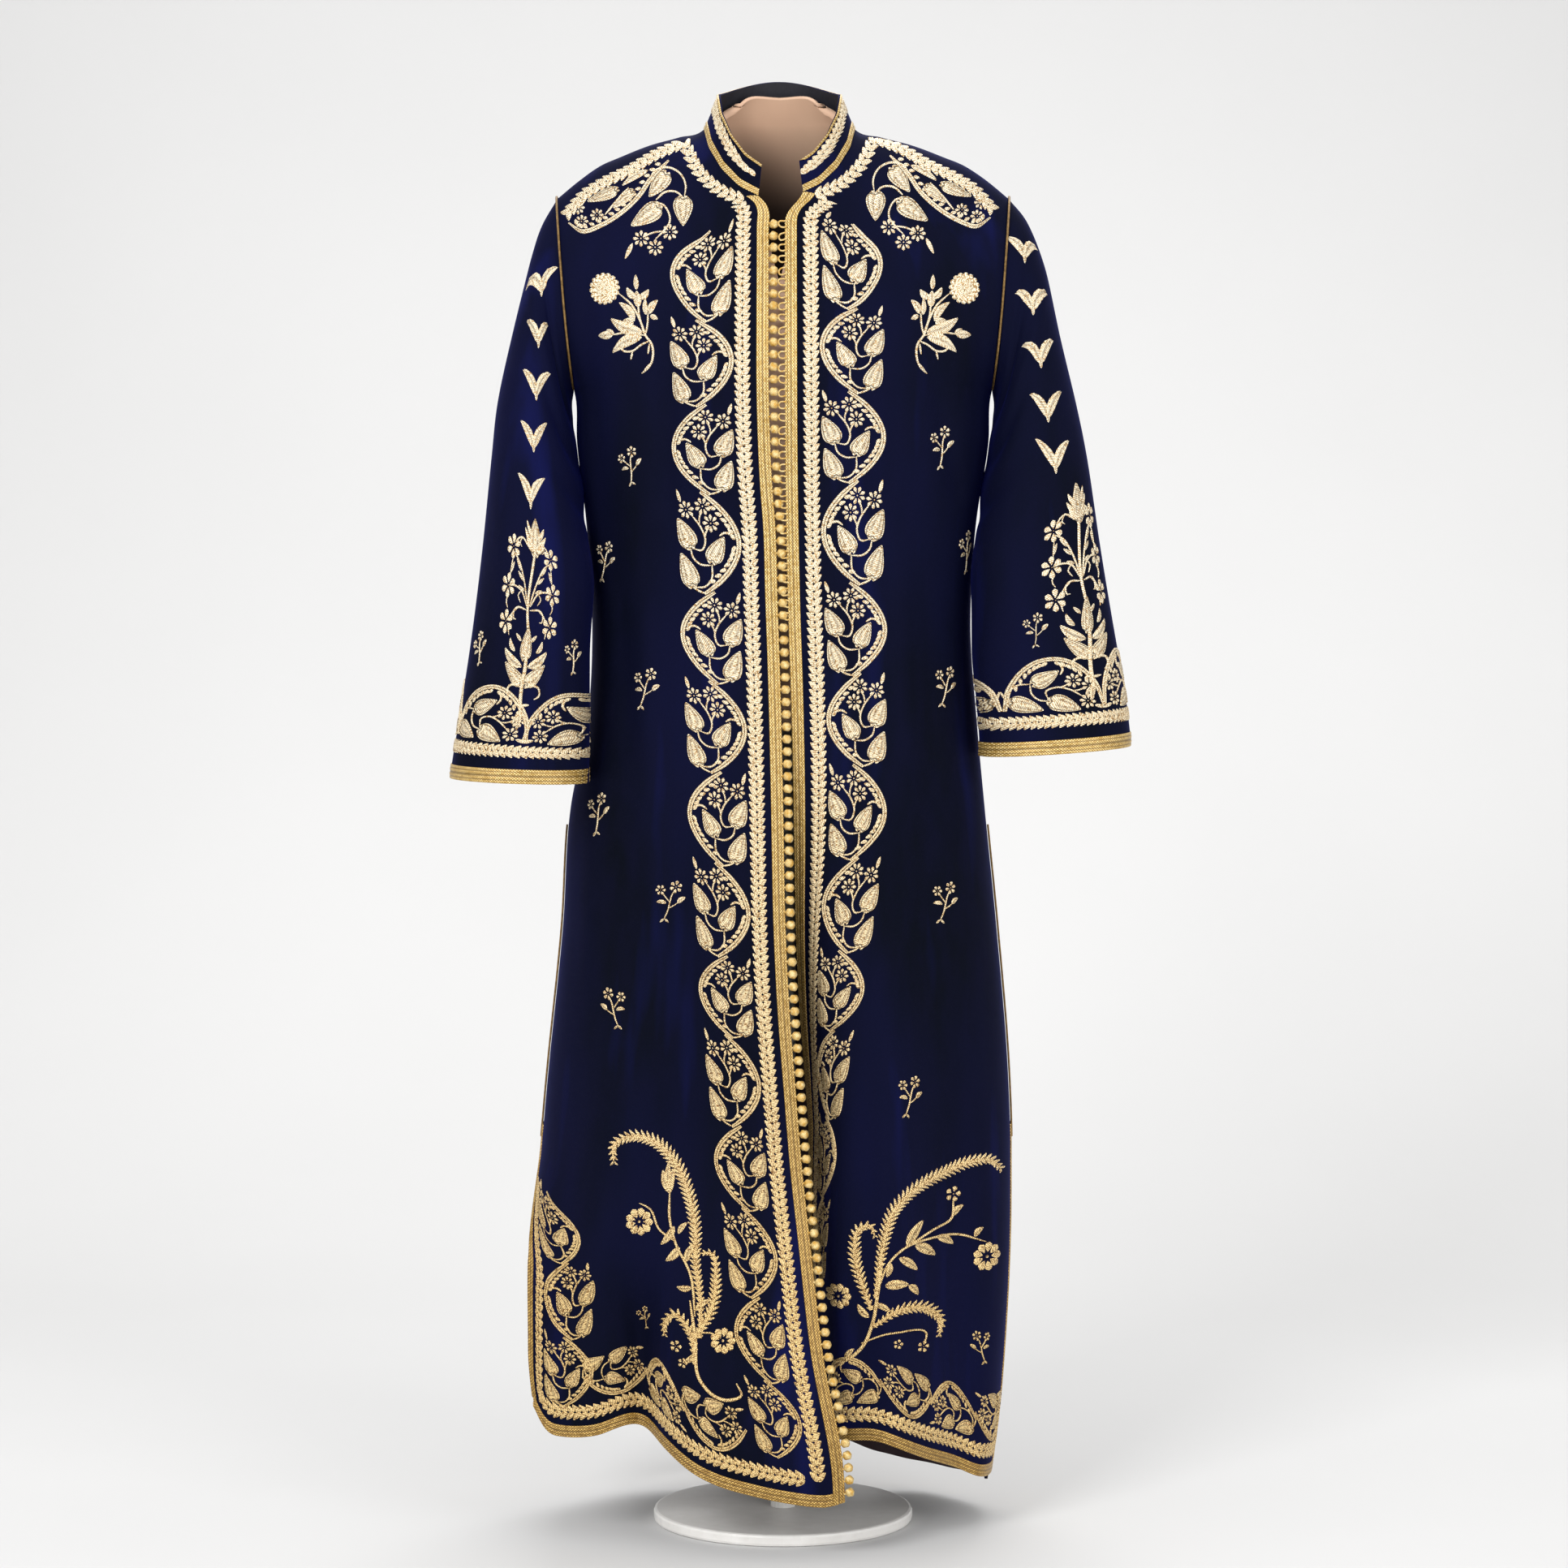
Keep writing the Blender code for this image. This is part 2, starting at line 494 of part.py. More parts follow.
def tube(name, points, radius, material, collection, swell=None):
    """A closed tube along points, as a curve; swell gives each point its share of the radius."""
    curve = bpy.data.curves.new(name, "CURVE")
    curve.dimensions = "3D"
    curve.bevel_depth = radius
    curve.bevel_resolution = 1
    curve.use_fill_caps = True
    spline = curve.splines.new("POLY")
    spline.points.add(len(points) - 1)
    for k, point in enumerate(points):
        spline.points[k].co = (*point, 1.0)
        spline.points[k].radius = 1.0 if swell is None else swell[k]
    return link(bpy.data.objects.new(name, curve), material, collection)


def make_materials():
    made = {}
    for name, (colour, rough, metal) in COLOURS.items():
        material = bpy.data.materials.new(name)
        material.use_nodes = True
        shader = material.node_tree.nodes["Principled BSDF"]
        shader.inputs["Base Color"].default_value = (*colour, 1)
        shader.inputs["Roughness"].default_value = rough
        shader.inputs["Metallic"].default_value = metal
        made[name] = material
    return made


def shift_seams(grid, panel):
    """Draw a panel back from the side and shoulder seams by half the gap."""
    sign = 1.0 if panel == "back" else -1.0
    half = sign * SEAM / 2
    grid = grid.copy()
    grid[:, -1, 1] += half
    grid[-1, :, 1] += half
    if panel == "back":
        grid[:, 0, 1] += half
    return grid


def make_panels(paint, collection):
    """The back and the two fronts, with the braid on their edges. Returns grids and normals by name."""
    rows_low = low_rows(1.03, FRONT_ROWS, BRAID)
    low_count = len(rows_low) - 1
    made = {}
    for panel in ("right", "left", "back"):
        grid = back_grid(rows_low, TOP_ROWS) if panel == "back" else front_grid(panel, rows_low, TOP_ROWS, 9)
        grid = shift_seams(grid, panel)
        vectors = body_normals(grid, low_count, panel == "back")
        name = "back" if panel == "back" else "front_" + panel
        slab(name, grid, vectors, -CLOTH, 0, paint["velvet"], collection)
        made[panel] = (grid, vectors)
    return made


def slit_rows(grid, column):
    """Number of rows of a side edge that lie below the top of the slit."""
    return int(np.argmax(grid[:, column, 2] > SLIT_TOP + 0.02))


def make_braid(panels, paint, collection):
    """Strips of flat braid on the fronts' edges, the hems and the slits."""
    gold = paint["braid"]
    for panel in ("right", "left"):
        grid, vectors = panels[panel]
        top = len(grid) - int((TOP_ROWS > COLLAR_ROW - 0.05).sum()) + 1
        strip("braid_edge_" + panel, grid[:top, :2], vectors[:top, :2], gold, collection)
        strip("braid_hem_" + panel, grid[:2, 1:], vectors[:2, 1:], gold, collection, ends=("first column",))
        count = slit_rows(grid, -1)
        strip("braid_slit_front_" + panel, grid[1:count, -2:], vectors[1:count, -2:], gold, collection,
              ends=("first row",))
    grid, vectors = panels["back"]
    strip("braid_hem_back", grid[:2], vectors[:2], gold, collection)
    for panel, column in (("right", 0), ("left", -1)):
        count = slit_rows(grid, column)
        pick = slice(0, 2) if column == 0 else slice(-2, None)
        strip("braid_slit_back_" + panel, grid[1:count, pick], vectors[1:count, pick], gold, collection,
              ends=("first row",))


def collar_path(panels):
    """The neckline from the right front's collar end, round the back, to the left front's."""
    first = int(np.argmax(TOP_ROWS > COLLAR_ROW - 0.01))
    right = panels["right"][0][-len(TOP_ROWS) + first:, 0]
    left = panels["left"][0][-len(TOP_ROWS) + first:, 0]
    back = panels["back"][0][-1]
    off = back[:, 0] + NECK_SHIFT
    inner = back[np.abs(off) < NECK_SIDE - 0.002]
    return np.concatenate((right, inner, left[::-1]))


def make_collar(panels, paint, collection):
    """Stand collar: the neckline carried up and inwards, with braid at its foot and top."""
    path = collar_path(panels)
    path = np.insert(path, np.arange(1, len(path)), (path[1:] + path[:-1]) / 2, axis=0)
    middle = np.array([-NECK_SHIFT, 0.004, 0.0])
    inward = middle - path
    inward[:, 2] = 0
    inward /= np.linalg.norm(inward, axis=1, keepdims=True)
    rise = inward * COLLAR_LEAN + np.array([0, 0, 1.0])
    rise /= np.linalg.norm(rise, axis=1, keepdims=True)
    share = np.abs(np.linspace(-1, 1, len(path)))
    height = COLLAR_HEIGHT - 0.010 * share**2
    levels = (0.0, COLLAR_BRAID, 0.5, 1.0)
    rows = []
    for level in levels:
        place = level if level < 0.1 else (height - COLLAR_EDGING) * level
        rows.append(path + rise * (SEAM * 1.4 + np.broadcast_to(place, height.shape)[:, None]))
    rows.append(path + rise * (SEAM * 1.4 + height[:, None]))
    grid = np.array(rows)
    vectors = normals(grid, -np.broadcast_to(inward, grid.shape))
    slab("collar", grid, vectors, -CLOTH, 0, paint["lining"], collection)
    strip("braid_collar_foot", grid[:2], vectors[:2], paint["braid"], collection)
    strip("braid_collar_top", grid[-2:], vectors[-2:], paint["braid"], collection)


def sleeve_ring(table, row, angles, side):
    """Ring of a sleeve: a superellipse between its outer and inner points, as deep as the row says."""
    x_out, z_out, x_in, z_in, middle_y, depth = row
    middle = np.array([side * (x_out + x_in) / 2, middle_y, (z_out + z_in) / 2])
    arm = np.array([side * (x_out - x_in) / 2, 0, (z_out - z_in) / 2])
    power = 2 / SLEEVE_CURVE
    c = np.sign(np.cos(angles)) * np.abs(np.cos(angles)) ** power
    s = np.sign(np.sin(angles)) * np.abs(np.sin(angles)) ** power
    return middle + c[:, None] * arm - s[:, None] * np.array([0, depth, 0])


def armhole_ring(panels, side):
    """Points of the armhole round from the shoulder, down the front, and up the back."""
    panel = "right" if side < 0 else "left"
    front = panels[panel][0][-len(TOP_ROWS):, -1]
    back = panels["back"][0][-len(TOP_ROWS):, 0 if side < 0 else -1]
    ring = np.concatenate((front[::-1], back[1:-1]))
    ring[0, 1] = RIDGE_BACK
    ring[len(TOP_ROWS) - 1, 1] = 0
    return ring


def make_sleeve(panels, side, paint, collection):
    """Set-in sleeve: the armhole's ring passes into rings between the outer and inner outlines."""
    name = "right" if side < 0 else "left"
    table = SLEEVE_RIGHT if side < 0 else SLEEVE_LEFT
    ring = armhole_ring(panels, side)
    ring[:, 0] += side * (SEAM + 0.0002)
    mid_z = (table[0, 1] + table[0, 3]) / 2
    half = (table[0, 1] - table[0, 3]) / 2
    angles = np.arctan2(-(ring[:, 1] - ring[:, 1].mean()) / table[0, 5], (ring[:, 2] - mid_z) / half)
    grid = np.array([sleeve_ring(table, row, angles, side) for row in table])
    off = ring - grid[0]
    for k, keep in enumerate((1.0, 0.50, 0.18)):
        grid[k] += off * keep
    centre = grid.mean(axis=1, keepdims=True)
    vectors = normals(grid, grid - centre, wrap=True)
    plane = np.cross(ring[3] - ring[9], ring[6] - ring[12])
    plane /= np.linalg.norm(plane)
    tangent = np.roll(ring, -1, axis=0) - np.roll(ring, 1, axis=0)
    outward = np.cross(tangent, plane)
    outward /= np.linalg.norm(outward, axis=1, keepdims=True)
    outward *= np.sign((outward * (ring - ring.mean(axis=0))).sum())
    true = vectors[0].copy()
    vectors[0] = outward
    slab("sleeve_" + name, grid, vectors, -CLOTH, 0, paint["velvet"], collection, wrap=True)
    strip("braid_cuff_" + name, grid[-2:], vectors[-2:], paint["braid"], collection, wrap=True)
    return true


def make_piping(panels, sleeves, paint, collection):
    """Piping in the armhole seams and in the side seams under the sleeves."""
    for side in (-1, 1):
        name = "right" if side < 0 else "left"
        ring = armhole_ring(panels, side)
        front = panels[name][1][-len(TOP_ROWS):, -1]
        back = panels["back"][1][-len(TOP_ROWS):, 0 if side < 0 else -1]
        body = np.concatenate((front[::-1], back[1:-1]))
        sleeve = sleeves[side]
        out = body + sleeve
        out /= np.linalg.norm(out, axis=1, keepdims=True)
        reach = (ARMHOLE_PIPING + 2 * SEAM) / np.clip((out * body).sum(axis=1), 0.5, 1)
        points = ring + out * reach[:, None]
        points[:, 0] += side * SEAM
        armpit = len(TOP_ROWS) - 1
        order = np.concatenate((np.arange(armpit + 1, len(points)), np.arange(0, armpit)))
        tube("piping_armhole_" + name, points[order], ARMHOLE_PIPING, paint["gold"], collection)
        z = np.linspace(SLIT_TOP + 0.006, SIDE_PIPING_TOP, 12)
        x = side * (smooth(BODY, 1 if side < 0 else 2, z) + SIDE_PIPING + 2 * SEAM)
        tube("piping_side_" + name, np.stack((x, x * 0, z), axis=1), SIDE_PIPING, paint["gold"], collection)


def make_buttons(panels, paint, collection):
    """Ball buttons on their cord, one pitch apart, beside the right front's edge."""
    grid, vectors = panels["right"]
    away = grid[:, 0] - grid[:, 1]
    away /= np.linalg.norm(away, axis=1, keepdims=True)
    path = grid[:, 0] + away * (BUTTON_GAP / 2) + vectors[:, 0] * 0.0008
    path = path[path[:, 2] < BUTTONS_TOP]
    path = along(path, np.linspace(0, length(path), 80))
    count = int(length(path) / BUTTON_PITCH)
    starts = np.arange(count) * BUTTON_PITCH
    places = (starts[:, None] + np.array([0.0, 0.27, 0.73]) * BUTTON_PITCH).ravel()
    places = np.append(places, count * BUTTON_PITCH) + 0.002
    neck = BUTTON_CORD / BUTTON_RADIUS
    swell = np.append(np.tile([neck, 1.0, 1.0], count), neck)
    tube("buttons", along(path, places), BUTTON_RADIUS, paint["gold"], collection, swell)


def form_surface(x, z, sign):
    """Point of the form's outside, worked out as the cloth's is, with its own widths and depths."""
    off = np.abs(x + NECK_SHIFT * np.clip((0.20 - np.abs(x)) / 0.12, 0, 1))
    top = ridge(x) - FORM_DROP - FORM_DROP_NECK * ease((0.112 - off) / 0.03)
    width = smooth(FORM, 1, z)
    depth = smooth(FORM, 3 if sign > 0 else 2, z)
    across = np.clip(1 - np.clip(np.abs(x) / width, 0, 1) ** CURVE, 0, 1) ** (1 / CURVE)
    up = np.clip((z - ARMPIT) / (top - ARMPIT), 0, 1)
    middle = RIDGE_BACK * ease((z - ARMPIT) / 0.20)
    return middle + sign * depth * across * np.sqrt(1 - up**2), top


def form_ring(row, angles):
    """One ring round the form; angles run from the front, over the wearer's left side, to the back."""
    side_x, side_z, front_z, back_z = row
    full = side_x == 0
    width = smooth(FORM, 1, side_z) if full else side_x
    power = 2 / CURVE if full else 1.0
    x = width * np.sign(np.sin(angles)) * np.abs(np.sin(angles)) ** power
    front = np.cos(angles) > 0
    if not full:
        x = x - NECK_SHIFT * ease((0.16 - width) / 0.08)
    _, top = form_surface(x, np.full(x.shape, 1.3), 1)
    level = side_z if full else top
    middle_z = np.where(front, front_z, back_z)
    share = np.sin(angles) ** 2
    share = np.where(front & (not full), np.abs(np.sin(angles)) ** RIM_CURVE, share)
    z = middle_z + (level - middle_z) * share
    y_front, _ = form_surface(x, z, -1)
    y_back, _ = form_surface(x, z, 1)
    return np.stack((x, np.where(front, y_front, y_back), z), axis=1)


def make_form(paint, collection):
    """Hollow torso: a shell that is open at the neck and closed by a flat bottom."""
    even = np.linspace(0, 2 * np.pi, 28, endpoint=False) + 1e-4
    angles = even + 0.2 * np.sin(2 * even)
    outer = np.array([form_ring(row, angles) for row in FORM_RINGS])
    centre = outer.mean(axis=1, keepdims=True)
    centre[:, :, 2] = np.minimum(centre[:, :, 2], 1.16)
    vectors = normals(outer, outer - centre, wrap=True)
    inner = outer - vectors * FORM_WALL
    inner[0, :, 2] = FORM_BOTTOM + FORM_WALL
    columns = len(angles)
    rows = len(outer)
    count = rows * columns
    points = np.concatenate((outer.reshape(-1, 3), inner.reshape(-1, 3)))
    faces = []
    for i in range(rows - 1):
        for j in range(columns):
            k = (j + 1) % columns
            quad = (i * columns + j, i * columns + k, (i + 1) * columns + k, (i + 1) * columns + j)
            faces.append(quad)
            faces.append(tuple(count + v for v in reversed(quad)))
    last = (rows - 1) * columns
    for j in range(columns):
        k = (j + 1) % columns
        faces.append((last + j, last + k, count + last + k, count + last + j))
    faces.append(tuple(reversed(range(columns))))
    faces.append(tuple(count + j for j in range(columns)))
    mesh = bpy.data.meshes.new("dress_form")
    mesh.from_pydata(points.tolist(), [], faces)
    mesh.update()
    mesh.shade_smooth()
    mesh.set_sharp_from_angle(angle=np.radians(50))
    return link(bpy.data.objects.new("dress_form", mesh), paint["form"], collection)


def cylinder(name, radius, low, high, bevel, sides, material, collection):
    """A turned piece from a primitive, its edges rounded by a Bevel modifier."""
    mesh = bpy.data.meshes.new(name)
    shape = bmesh.new()
    bmesh.ops.create_cone(shape, cap_ends=True, segments=sides, radius1=radius, radius2=radius,
                          depth=high - low)
    shape.to_mesh(mesh)
    shape.free()
    mesh.shade_smooth()
    mesh.set_sharp_from_angle(angle=np.radians(50))
    obj = link(bpy.data.objects.new(name, mesh), material, collection)
    obj.location = (0, 0, (low + high) / 2)
    if bevel:
        rounding = obj.modifiers.new("rounded edge", "BEVEL")
        rounding.width = bevel
        rounding.segments = 2
        rounding.limit_method = "ANGLE"
    return obj


def main():
    for obj in list(bpy.data.objects):
        bpy.data.objects.remove(obj, do_unlink=True)
    collection = bpy.data.collections.new("caftan on a dress form")
    bpy.context.scene.collection.children.link(collection)
    paint = make_materials()
    panels = make_panels(paint, collection)
    make_braid(panels, paint, collection)
    make_collar(panels, paint, collection)
    sleeves = {side: make_sleeve(panels, side, paint, collection) for side in (-1, 1)}
    make_piping(panels, sleeves, paint, collection)
    make_buttons(panels, paint, collection)
    make_form(paint, collection)
    cylinder("pole", POLE_RADIUS, BASE_THICK + SEAM, FORM_BOTTOM - SEAM, 0, 20, paint["steel"], collection)
    cylinder("base", BASE_RADIUS, 0, BASE_THICK, 0.003, 48, paint["steel"], collection)


main()
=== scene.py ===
# %% [markdown]
# # A velvet caftan on a dress form
#
# A long navy velvet caftan from the Middle East, sewn with gold metal thread and closed by a row of about
# a hundred small knotted buttons. This notebook builds how it looks, on top of the solids of the CAD model.
#
# The real garment is flat cloth: two fronts, a back, two sleeves and a narrow stand collar, cut, lined and
# sewn together. So the model is built the same way. Each piece of cloth is worked out as one surface, and
# everything that is sewn on it is placed by its distance along the cloth, not by its place in the room.
# The frame is metres with Z up. The front faces -Y, and the wearer's right is -X.

# %% Start from the CAD model
import bpy
import numpy as np
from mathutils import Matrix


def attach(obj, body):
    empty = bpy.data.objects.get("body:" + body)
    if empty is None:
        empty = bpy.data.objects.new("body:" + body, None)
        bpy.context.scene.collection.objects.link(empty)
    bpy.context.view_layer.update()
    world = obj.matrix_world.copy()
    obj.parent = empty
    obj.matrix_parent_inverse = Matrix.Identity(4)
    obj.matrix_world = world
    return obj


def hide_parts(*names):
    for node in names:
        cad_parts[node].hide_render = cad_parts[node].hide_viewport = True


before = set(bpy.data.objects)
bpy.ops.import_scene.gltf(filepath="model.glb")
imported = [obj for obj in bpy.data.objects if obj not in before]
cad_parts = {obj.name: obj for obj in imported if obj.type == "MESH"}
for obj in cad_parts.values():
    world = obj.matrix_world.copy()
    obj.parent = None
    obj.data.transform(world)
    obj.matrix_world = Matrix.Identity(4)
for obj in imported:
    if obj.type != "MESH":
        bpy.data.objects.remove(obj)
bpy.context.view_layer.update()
scene = bpy.context.scene

# %% [markdown]
# ## Camera and light
#
# The photograph is taken from the front, a little above the middle, with a long lens: the hem is hardly
# larger than the shoulders. A long focal length from 4.6 m does the same. The light is soft and frontal,
# because hard light would turn the raised gold thread into sparkle, and a weak light from the side lets
# the folds of the dark velvet show.


# %% Camera and studio
CAMERA_AT = (0.001, -4.6, 1.05)
CAMERA_TARGET = (0.001, 0.0, 0.7403)
FOCAL_LENGTH = 106.27
LAMP_TARGET = (0, 0, 0.75)


def aim(obj, target):
    """Turn an object so that its -Z axis points at the target."""
    way = np.array(target) - np.array(obj.location)
    flat = np.hypot(way[0], way[1])
    obj.rotation_euler = (np.arctan2(flat, -way[2]), 0.0, np.arctan2(way[1], way[0]) - np.pi / 2)


def softbox(name, place, size, power):
    """A square area light that looks at the middle of the caftan."""
    data = bpy.data.lights.new(name, "AREA")
    data.shape = "SQUARE"
    data.size = size
    data.energy = power
    lamp = bpy.data.objects.new(name, data)
    lamp.location = place
    aim(lamp, LAMP_TARGET)
    scene.collection.objects.link(lamp)


lens = bpy.data.cameras.new("camera")
lens.lens = FOCAL_LENGTH
lens.sensor_width = 36
camera = bpy.data.objects.new("camera", lens)
camera.location = CAMERA_AT
aim(camera, CAMERA_TARGET)
scene.collection.objects.link(camera)
scene.camera = camera
softbox("key light", (-1.9, -3.6, 3.0), 1.6, 126)
softbox("fill light", (2.4, -3.0, 1.6), 2.2, 60)
softbox("top light", (0.2, 1.6, 3.2), 2.0, 52)
scene.view_settings.view_transform = "Standard"
print("camera and 3 softboxes")

# %% [markdown]
# ## Materials
#
# Colours are written as they look on a screen, and one function turns them into the linear values that
# the renderer computes with. Every pattern is scaled in millimetres of the real thing.
#
# - Velvet is a pile of fine upright threads. Seen face on it swallows light, and at a grazing angle it
#   shines. A dark base with sheen does that. Pressed places in the pile are darker or bluer in patches.
#   Thin upright lines of paler blue are painted highlight, where folds would catch the light.
# - The gold thread is a thin metal strip wound on a core, laid side by side and stitched down. It is part
#   metal, part matt, with fine ridges across it, which are painted lighter as highlight, with painted shade
#   between them and in the gaps between cords. Near the hem it is browner.
# - Flat braid is woven from the same thread, so it has ribs along it and a fine slanting weave, with the
#   same painted highlight and shade, and painted shade in its grooves.


# %% Material functions
def linear(code):
    """The linear colour of a screen hex code."""
    value = np.array([int(code[k:k + 2], 16) for k in (1, 3, 5)]) / 255
    return (*np.where(value <= 0.04045, value / 12.92, ((value + 0.055) / 1.055) ** 2.4), 1.0)


def node(tree, kind, settings=None, values=None, links=None):
    """Add a node: its settings, the values of its inputs, and what is linked into them."""
    made = tree.nodes.new(kind)
    for name, value in (settings or {}).items():
        setattr(made, name, value)
    for name, value in (values or {}).items():
        made.inputs[name].default_value = value
    for name, socket in (links or {}).items():
        tree.links.new(socket, made.inputs[name])
    return made


def material(name):
    """A new material, its node tree and its main shader."""
    made = bpy.data.materials.new(name)
    made.use_nodes = True
    return made, made.node_tree, made.node_tree.nodes["Principled BSDF"]


def mix(tree, share, low, high):
    """A colour between two others; each of them is a hex code or a socket."""
    made = node(tree, "ShaderNodeMix", {"data_type": "RGBA"}, links={"Factor": share})
    for slot, value in ((6, low), (7, high)):
        if isinstance(value, str):
            made.inputs[slot].default_value = linear(value)
        else:
            tree.links.new(value, made.inputs[slot])
    return made.outputs[2]


def remap(tree, socket, low, high, to_low=0.0, to_high=1.0):
    """A value's range turned into another one, and kept inside it."""
    made = node(tree, "ShaderNodeMapRange", values={
        "From Min": low, "From Max": high, "To Min": to_low, "To Max": to_high}, links={"Value": socket})
    return made.outputs["Result"]


def noise(tree, scale, stretch=(1, 1, 1), detail=3.0):
    """Noise with its scale in lumps for each metre, stretched along the axes."""
    place = node(tree, "ShaderNodeTexCoord").outputs["Object"]
    turned = node(tree, "ShaderNodeMapping", values={"Scale": stretch}, links={"Vector": place})
    made = node(tree, "ShaderNodeTexNoise", values={"Scale": scale, "Detail": detail},
                links={"Vector": turned.outputs["Vector"]})
    return made.outputs["Fac"]


def height_above_floor(tree, low, high):
    """0 at one height of the object and 1 at another."""
    place = node(tree, "ShaderNodeTexCoord").outputs["Object"]
    split = node(tree, "ShaderNodeSeparateXYZ", links={"Vector": place})
    return remap(tree, split.outputs["Z"], low, high)


def ridges(tree, pitch, slant):
    """Waves across a sewn strip. Its UVs are millimetres along and across it, so the pitch is too; 0.314 is
    the pitch of Blender's wave texture at a scale of 1."""
    place = node(tree, "ShaderNodeUVMap", {"uv_map": "stitch"}).outputs["UV"]
    turned = node(tree, "ShaderNodeMapping", values={"Rotation": (0, 0, slant)}, links={"Vector": place})
    made = node(tree, "ShaderNodeTexWave", values={"Scale": 0.314 / pitch, "Distortion": 0.6},
                links={"Vector": turned.outputs["Vector"]})
    return made.outputs["Fac"]


def product(tree, first, second):
    """Two values multiplied."""
    return node(tree, "ShaderNodeMath", {"operation": "MULTIPLY"}, links={0: first, 1: second}).outputs[0]


def painted_shade(tree):
    """The painted shade that a mesh's points carry."""
    return node(tree, "ShaderNodeAttribute", {"attribute_name": "gap"}).outputs["Fac"]


def coat(tree, shader, colour, values, relief, depth, strength):
    """Give the main shader its colour and other values, and let a relief raise it by depth metres."""
    tree.links.new(colour, shader.inputs["Base Color"])
    for name, value in values.items():
        shader.inputs[name].default_value = value
    made = node(tree, "ShaderNodeBump", values={"Distance": depth, "Strength": strength},
                links={"Height": relief})
    tree.links.new(made.outputs["Normal"], shader.inputs["Normal"])


# %% Velvet, lining and gold
def make_velvet():
    """Cotton velvet: dark pile with a blue sheen, in soft patches where it has been pressed, and with thin
    upright lines of painted highlight where folds would catch the light.
    """
    made, tree, shader = material("navy velvet")
    patches = remap(tree, noise(tree, 5.0, (1.5, 1.5, 0.45)), 0.38, 0.68)
    small = remap(tree, noise(tree, 60.0, (1, 1, 0.4)), 0.3, 0.7, 0.0, 0.35)
    # painted highlight: thin upright lines of paler blue, where folds of the pile would catch the light
    painted_highlight_streaks = remap(tree, noise(tree, 11.0, (1.7, 1.7, 0.22)), 0.56, 0.76, 0.0, 0.28)
    colour = mix(tree, patches, "#010410", "#050828")
    colour = mix(tree, small, colour, "#060722")
    colour = mix(tree, painted_highlight_streaks, colour, "#131a62")
    coat(tree, shader, colour, {
        "Roughness": 0.85, "Specular IOR Level": 0.08, "Sheen Weight": 0.13, "Sheen Roughness": 0.35,
        "Sheen Tint": linear("#2a3ad8")}, noise(tree, 900.0), 0.0003, 0.5)
    return made


def make_lining(name, dark, light):
    """Plain woven cotton or silk with a faint lengthwise weave."""
    made, tree, shader = material(name)
    colour = mix(tree, noise(tree, 500.0, (1, 1, 0.1)), dark, light)
    coat(tree, shader, colour, {"Roughness": 0.62}, noise(tree, 1500.0, (1, 1, 0.3)), 0.0001, 0.4)
    return made


def hatched(tree):
    """Couched thread: its stitches, in a fine uneven grain."""
    grain = remap(tree, noise(tree, 620.0, detail=2.0), 0.38, 0.60)
    return product(tree, grain, ridges(tree, 1.6, 0.6))


def woven(tree):
    """Flat braid: a fine weave on two slants, worn in places."""
    grain = remap(tree, noise(tree, 300.0, detail=2.0), 0.38, 0.62, 0.25, 1.0)
    return product(tree, product(tree, ridges(tree, 1.9, 0.9), ridges(tree, 1.9, -0.9)), grain)


def make_gold(name, pattern, full, deep, lit, gaps, dark, depth):
    """Metal thread: pale above and browner below, with painted highlight where its pattern is high,
    painted shade where it is low, and painted shade between its cords.
    """
    made, tree, shader = material(name)
    worn = pattern(tree)
    up = height_above_floor(tree, 0.25, 0.95)
    # painted highlight and shade: the lit tone on the high parts of the stitch pattern, the deep one on the
    # low
    shaded = mix(tree, remap(tree, worn, 0.02, full), mix(tree, up, *deep), mix(tree, up, *lit))
    # painted shade: the gap value of the points darkens the gaps between cords, slits, rims and braid
    # grooves
    colour = mix(tree, remap(tree, painted_shade(tree), *gaps), shaded, dark)
    coat(tree, shader, colour, {"Metallic": 0.3, "Roughness": 0.4}, worn, depth, 0.7)
    return made


def make_cord(name, dark, light):
    """Thin gold cord and knots: a yellower thread, twisted, with painted shade between its turns."""
    made, tree, shader = material(name)
    turns = ridges(tree, 1.1, 0.7)
    lit = mix(tree, remap(tree, noise(tree, 260.0), 0.35, 0.65), dark, light)
    # painted shade between the turns of the twist
    colour = mix(tree, remap(tree, turns, 0.0, 0.55, 0.6, 0.0), lit, "#5e3d12")
    coat(tree, shader, colour, {"Metallic": 0.35, "Roughness": 0.42}, turns, 0.0004, 0.7)
    return made


def make_plain(name, dark, light, rough, scale, depth):
    """A painted or pressed finish with slight, irregular shade."""
    made, tree, shader = material(name)
    shade = noise(tree, scale)
    coat(tree, shader, mix(tree, remap(tree, shade, 0.3, 0.7), dark, light), {}, noise(tree, scale * 6),
          depth, 0.5)
    tree.links.new(remap(tree, shade, 0.2, 0.8, rough, rough + 0.12), shader.inputs["Roughness"])
    return made


VELVET = make_velvet()
MAROON = make_lining("maroon lining", "#1d0710", "#34101c")
CHARCOAL = make_lining("charcoal lining", "#101018", "#24242e")
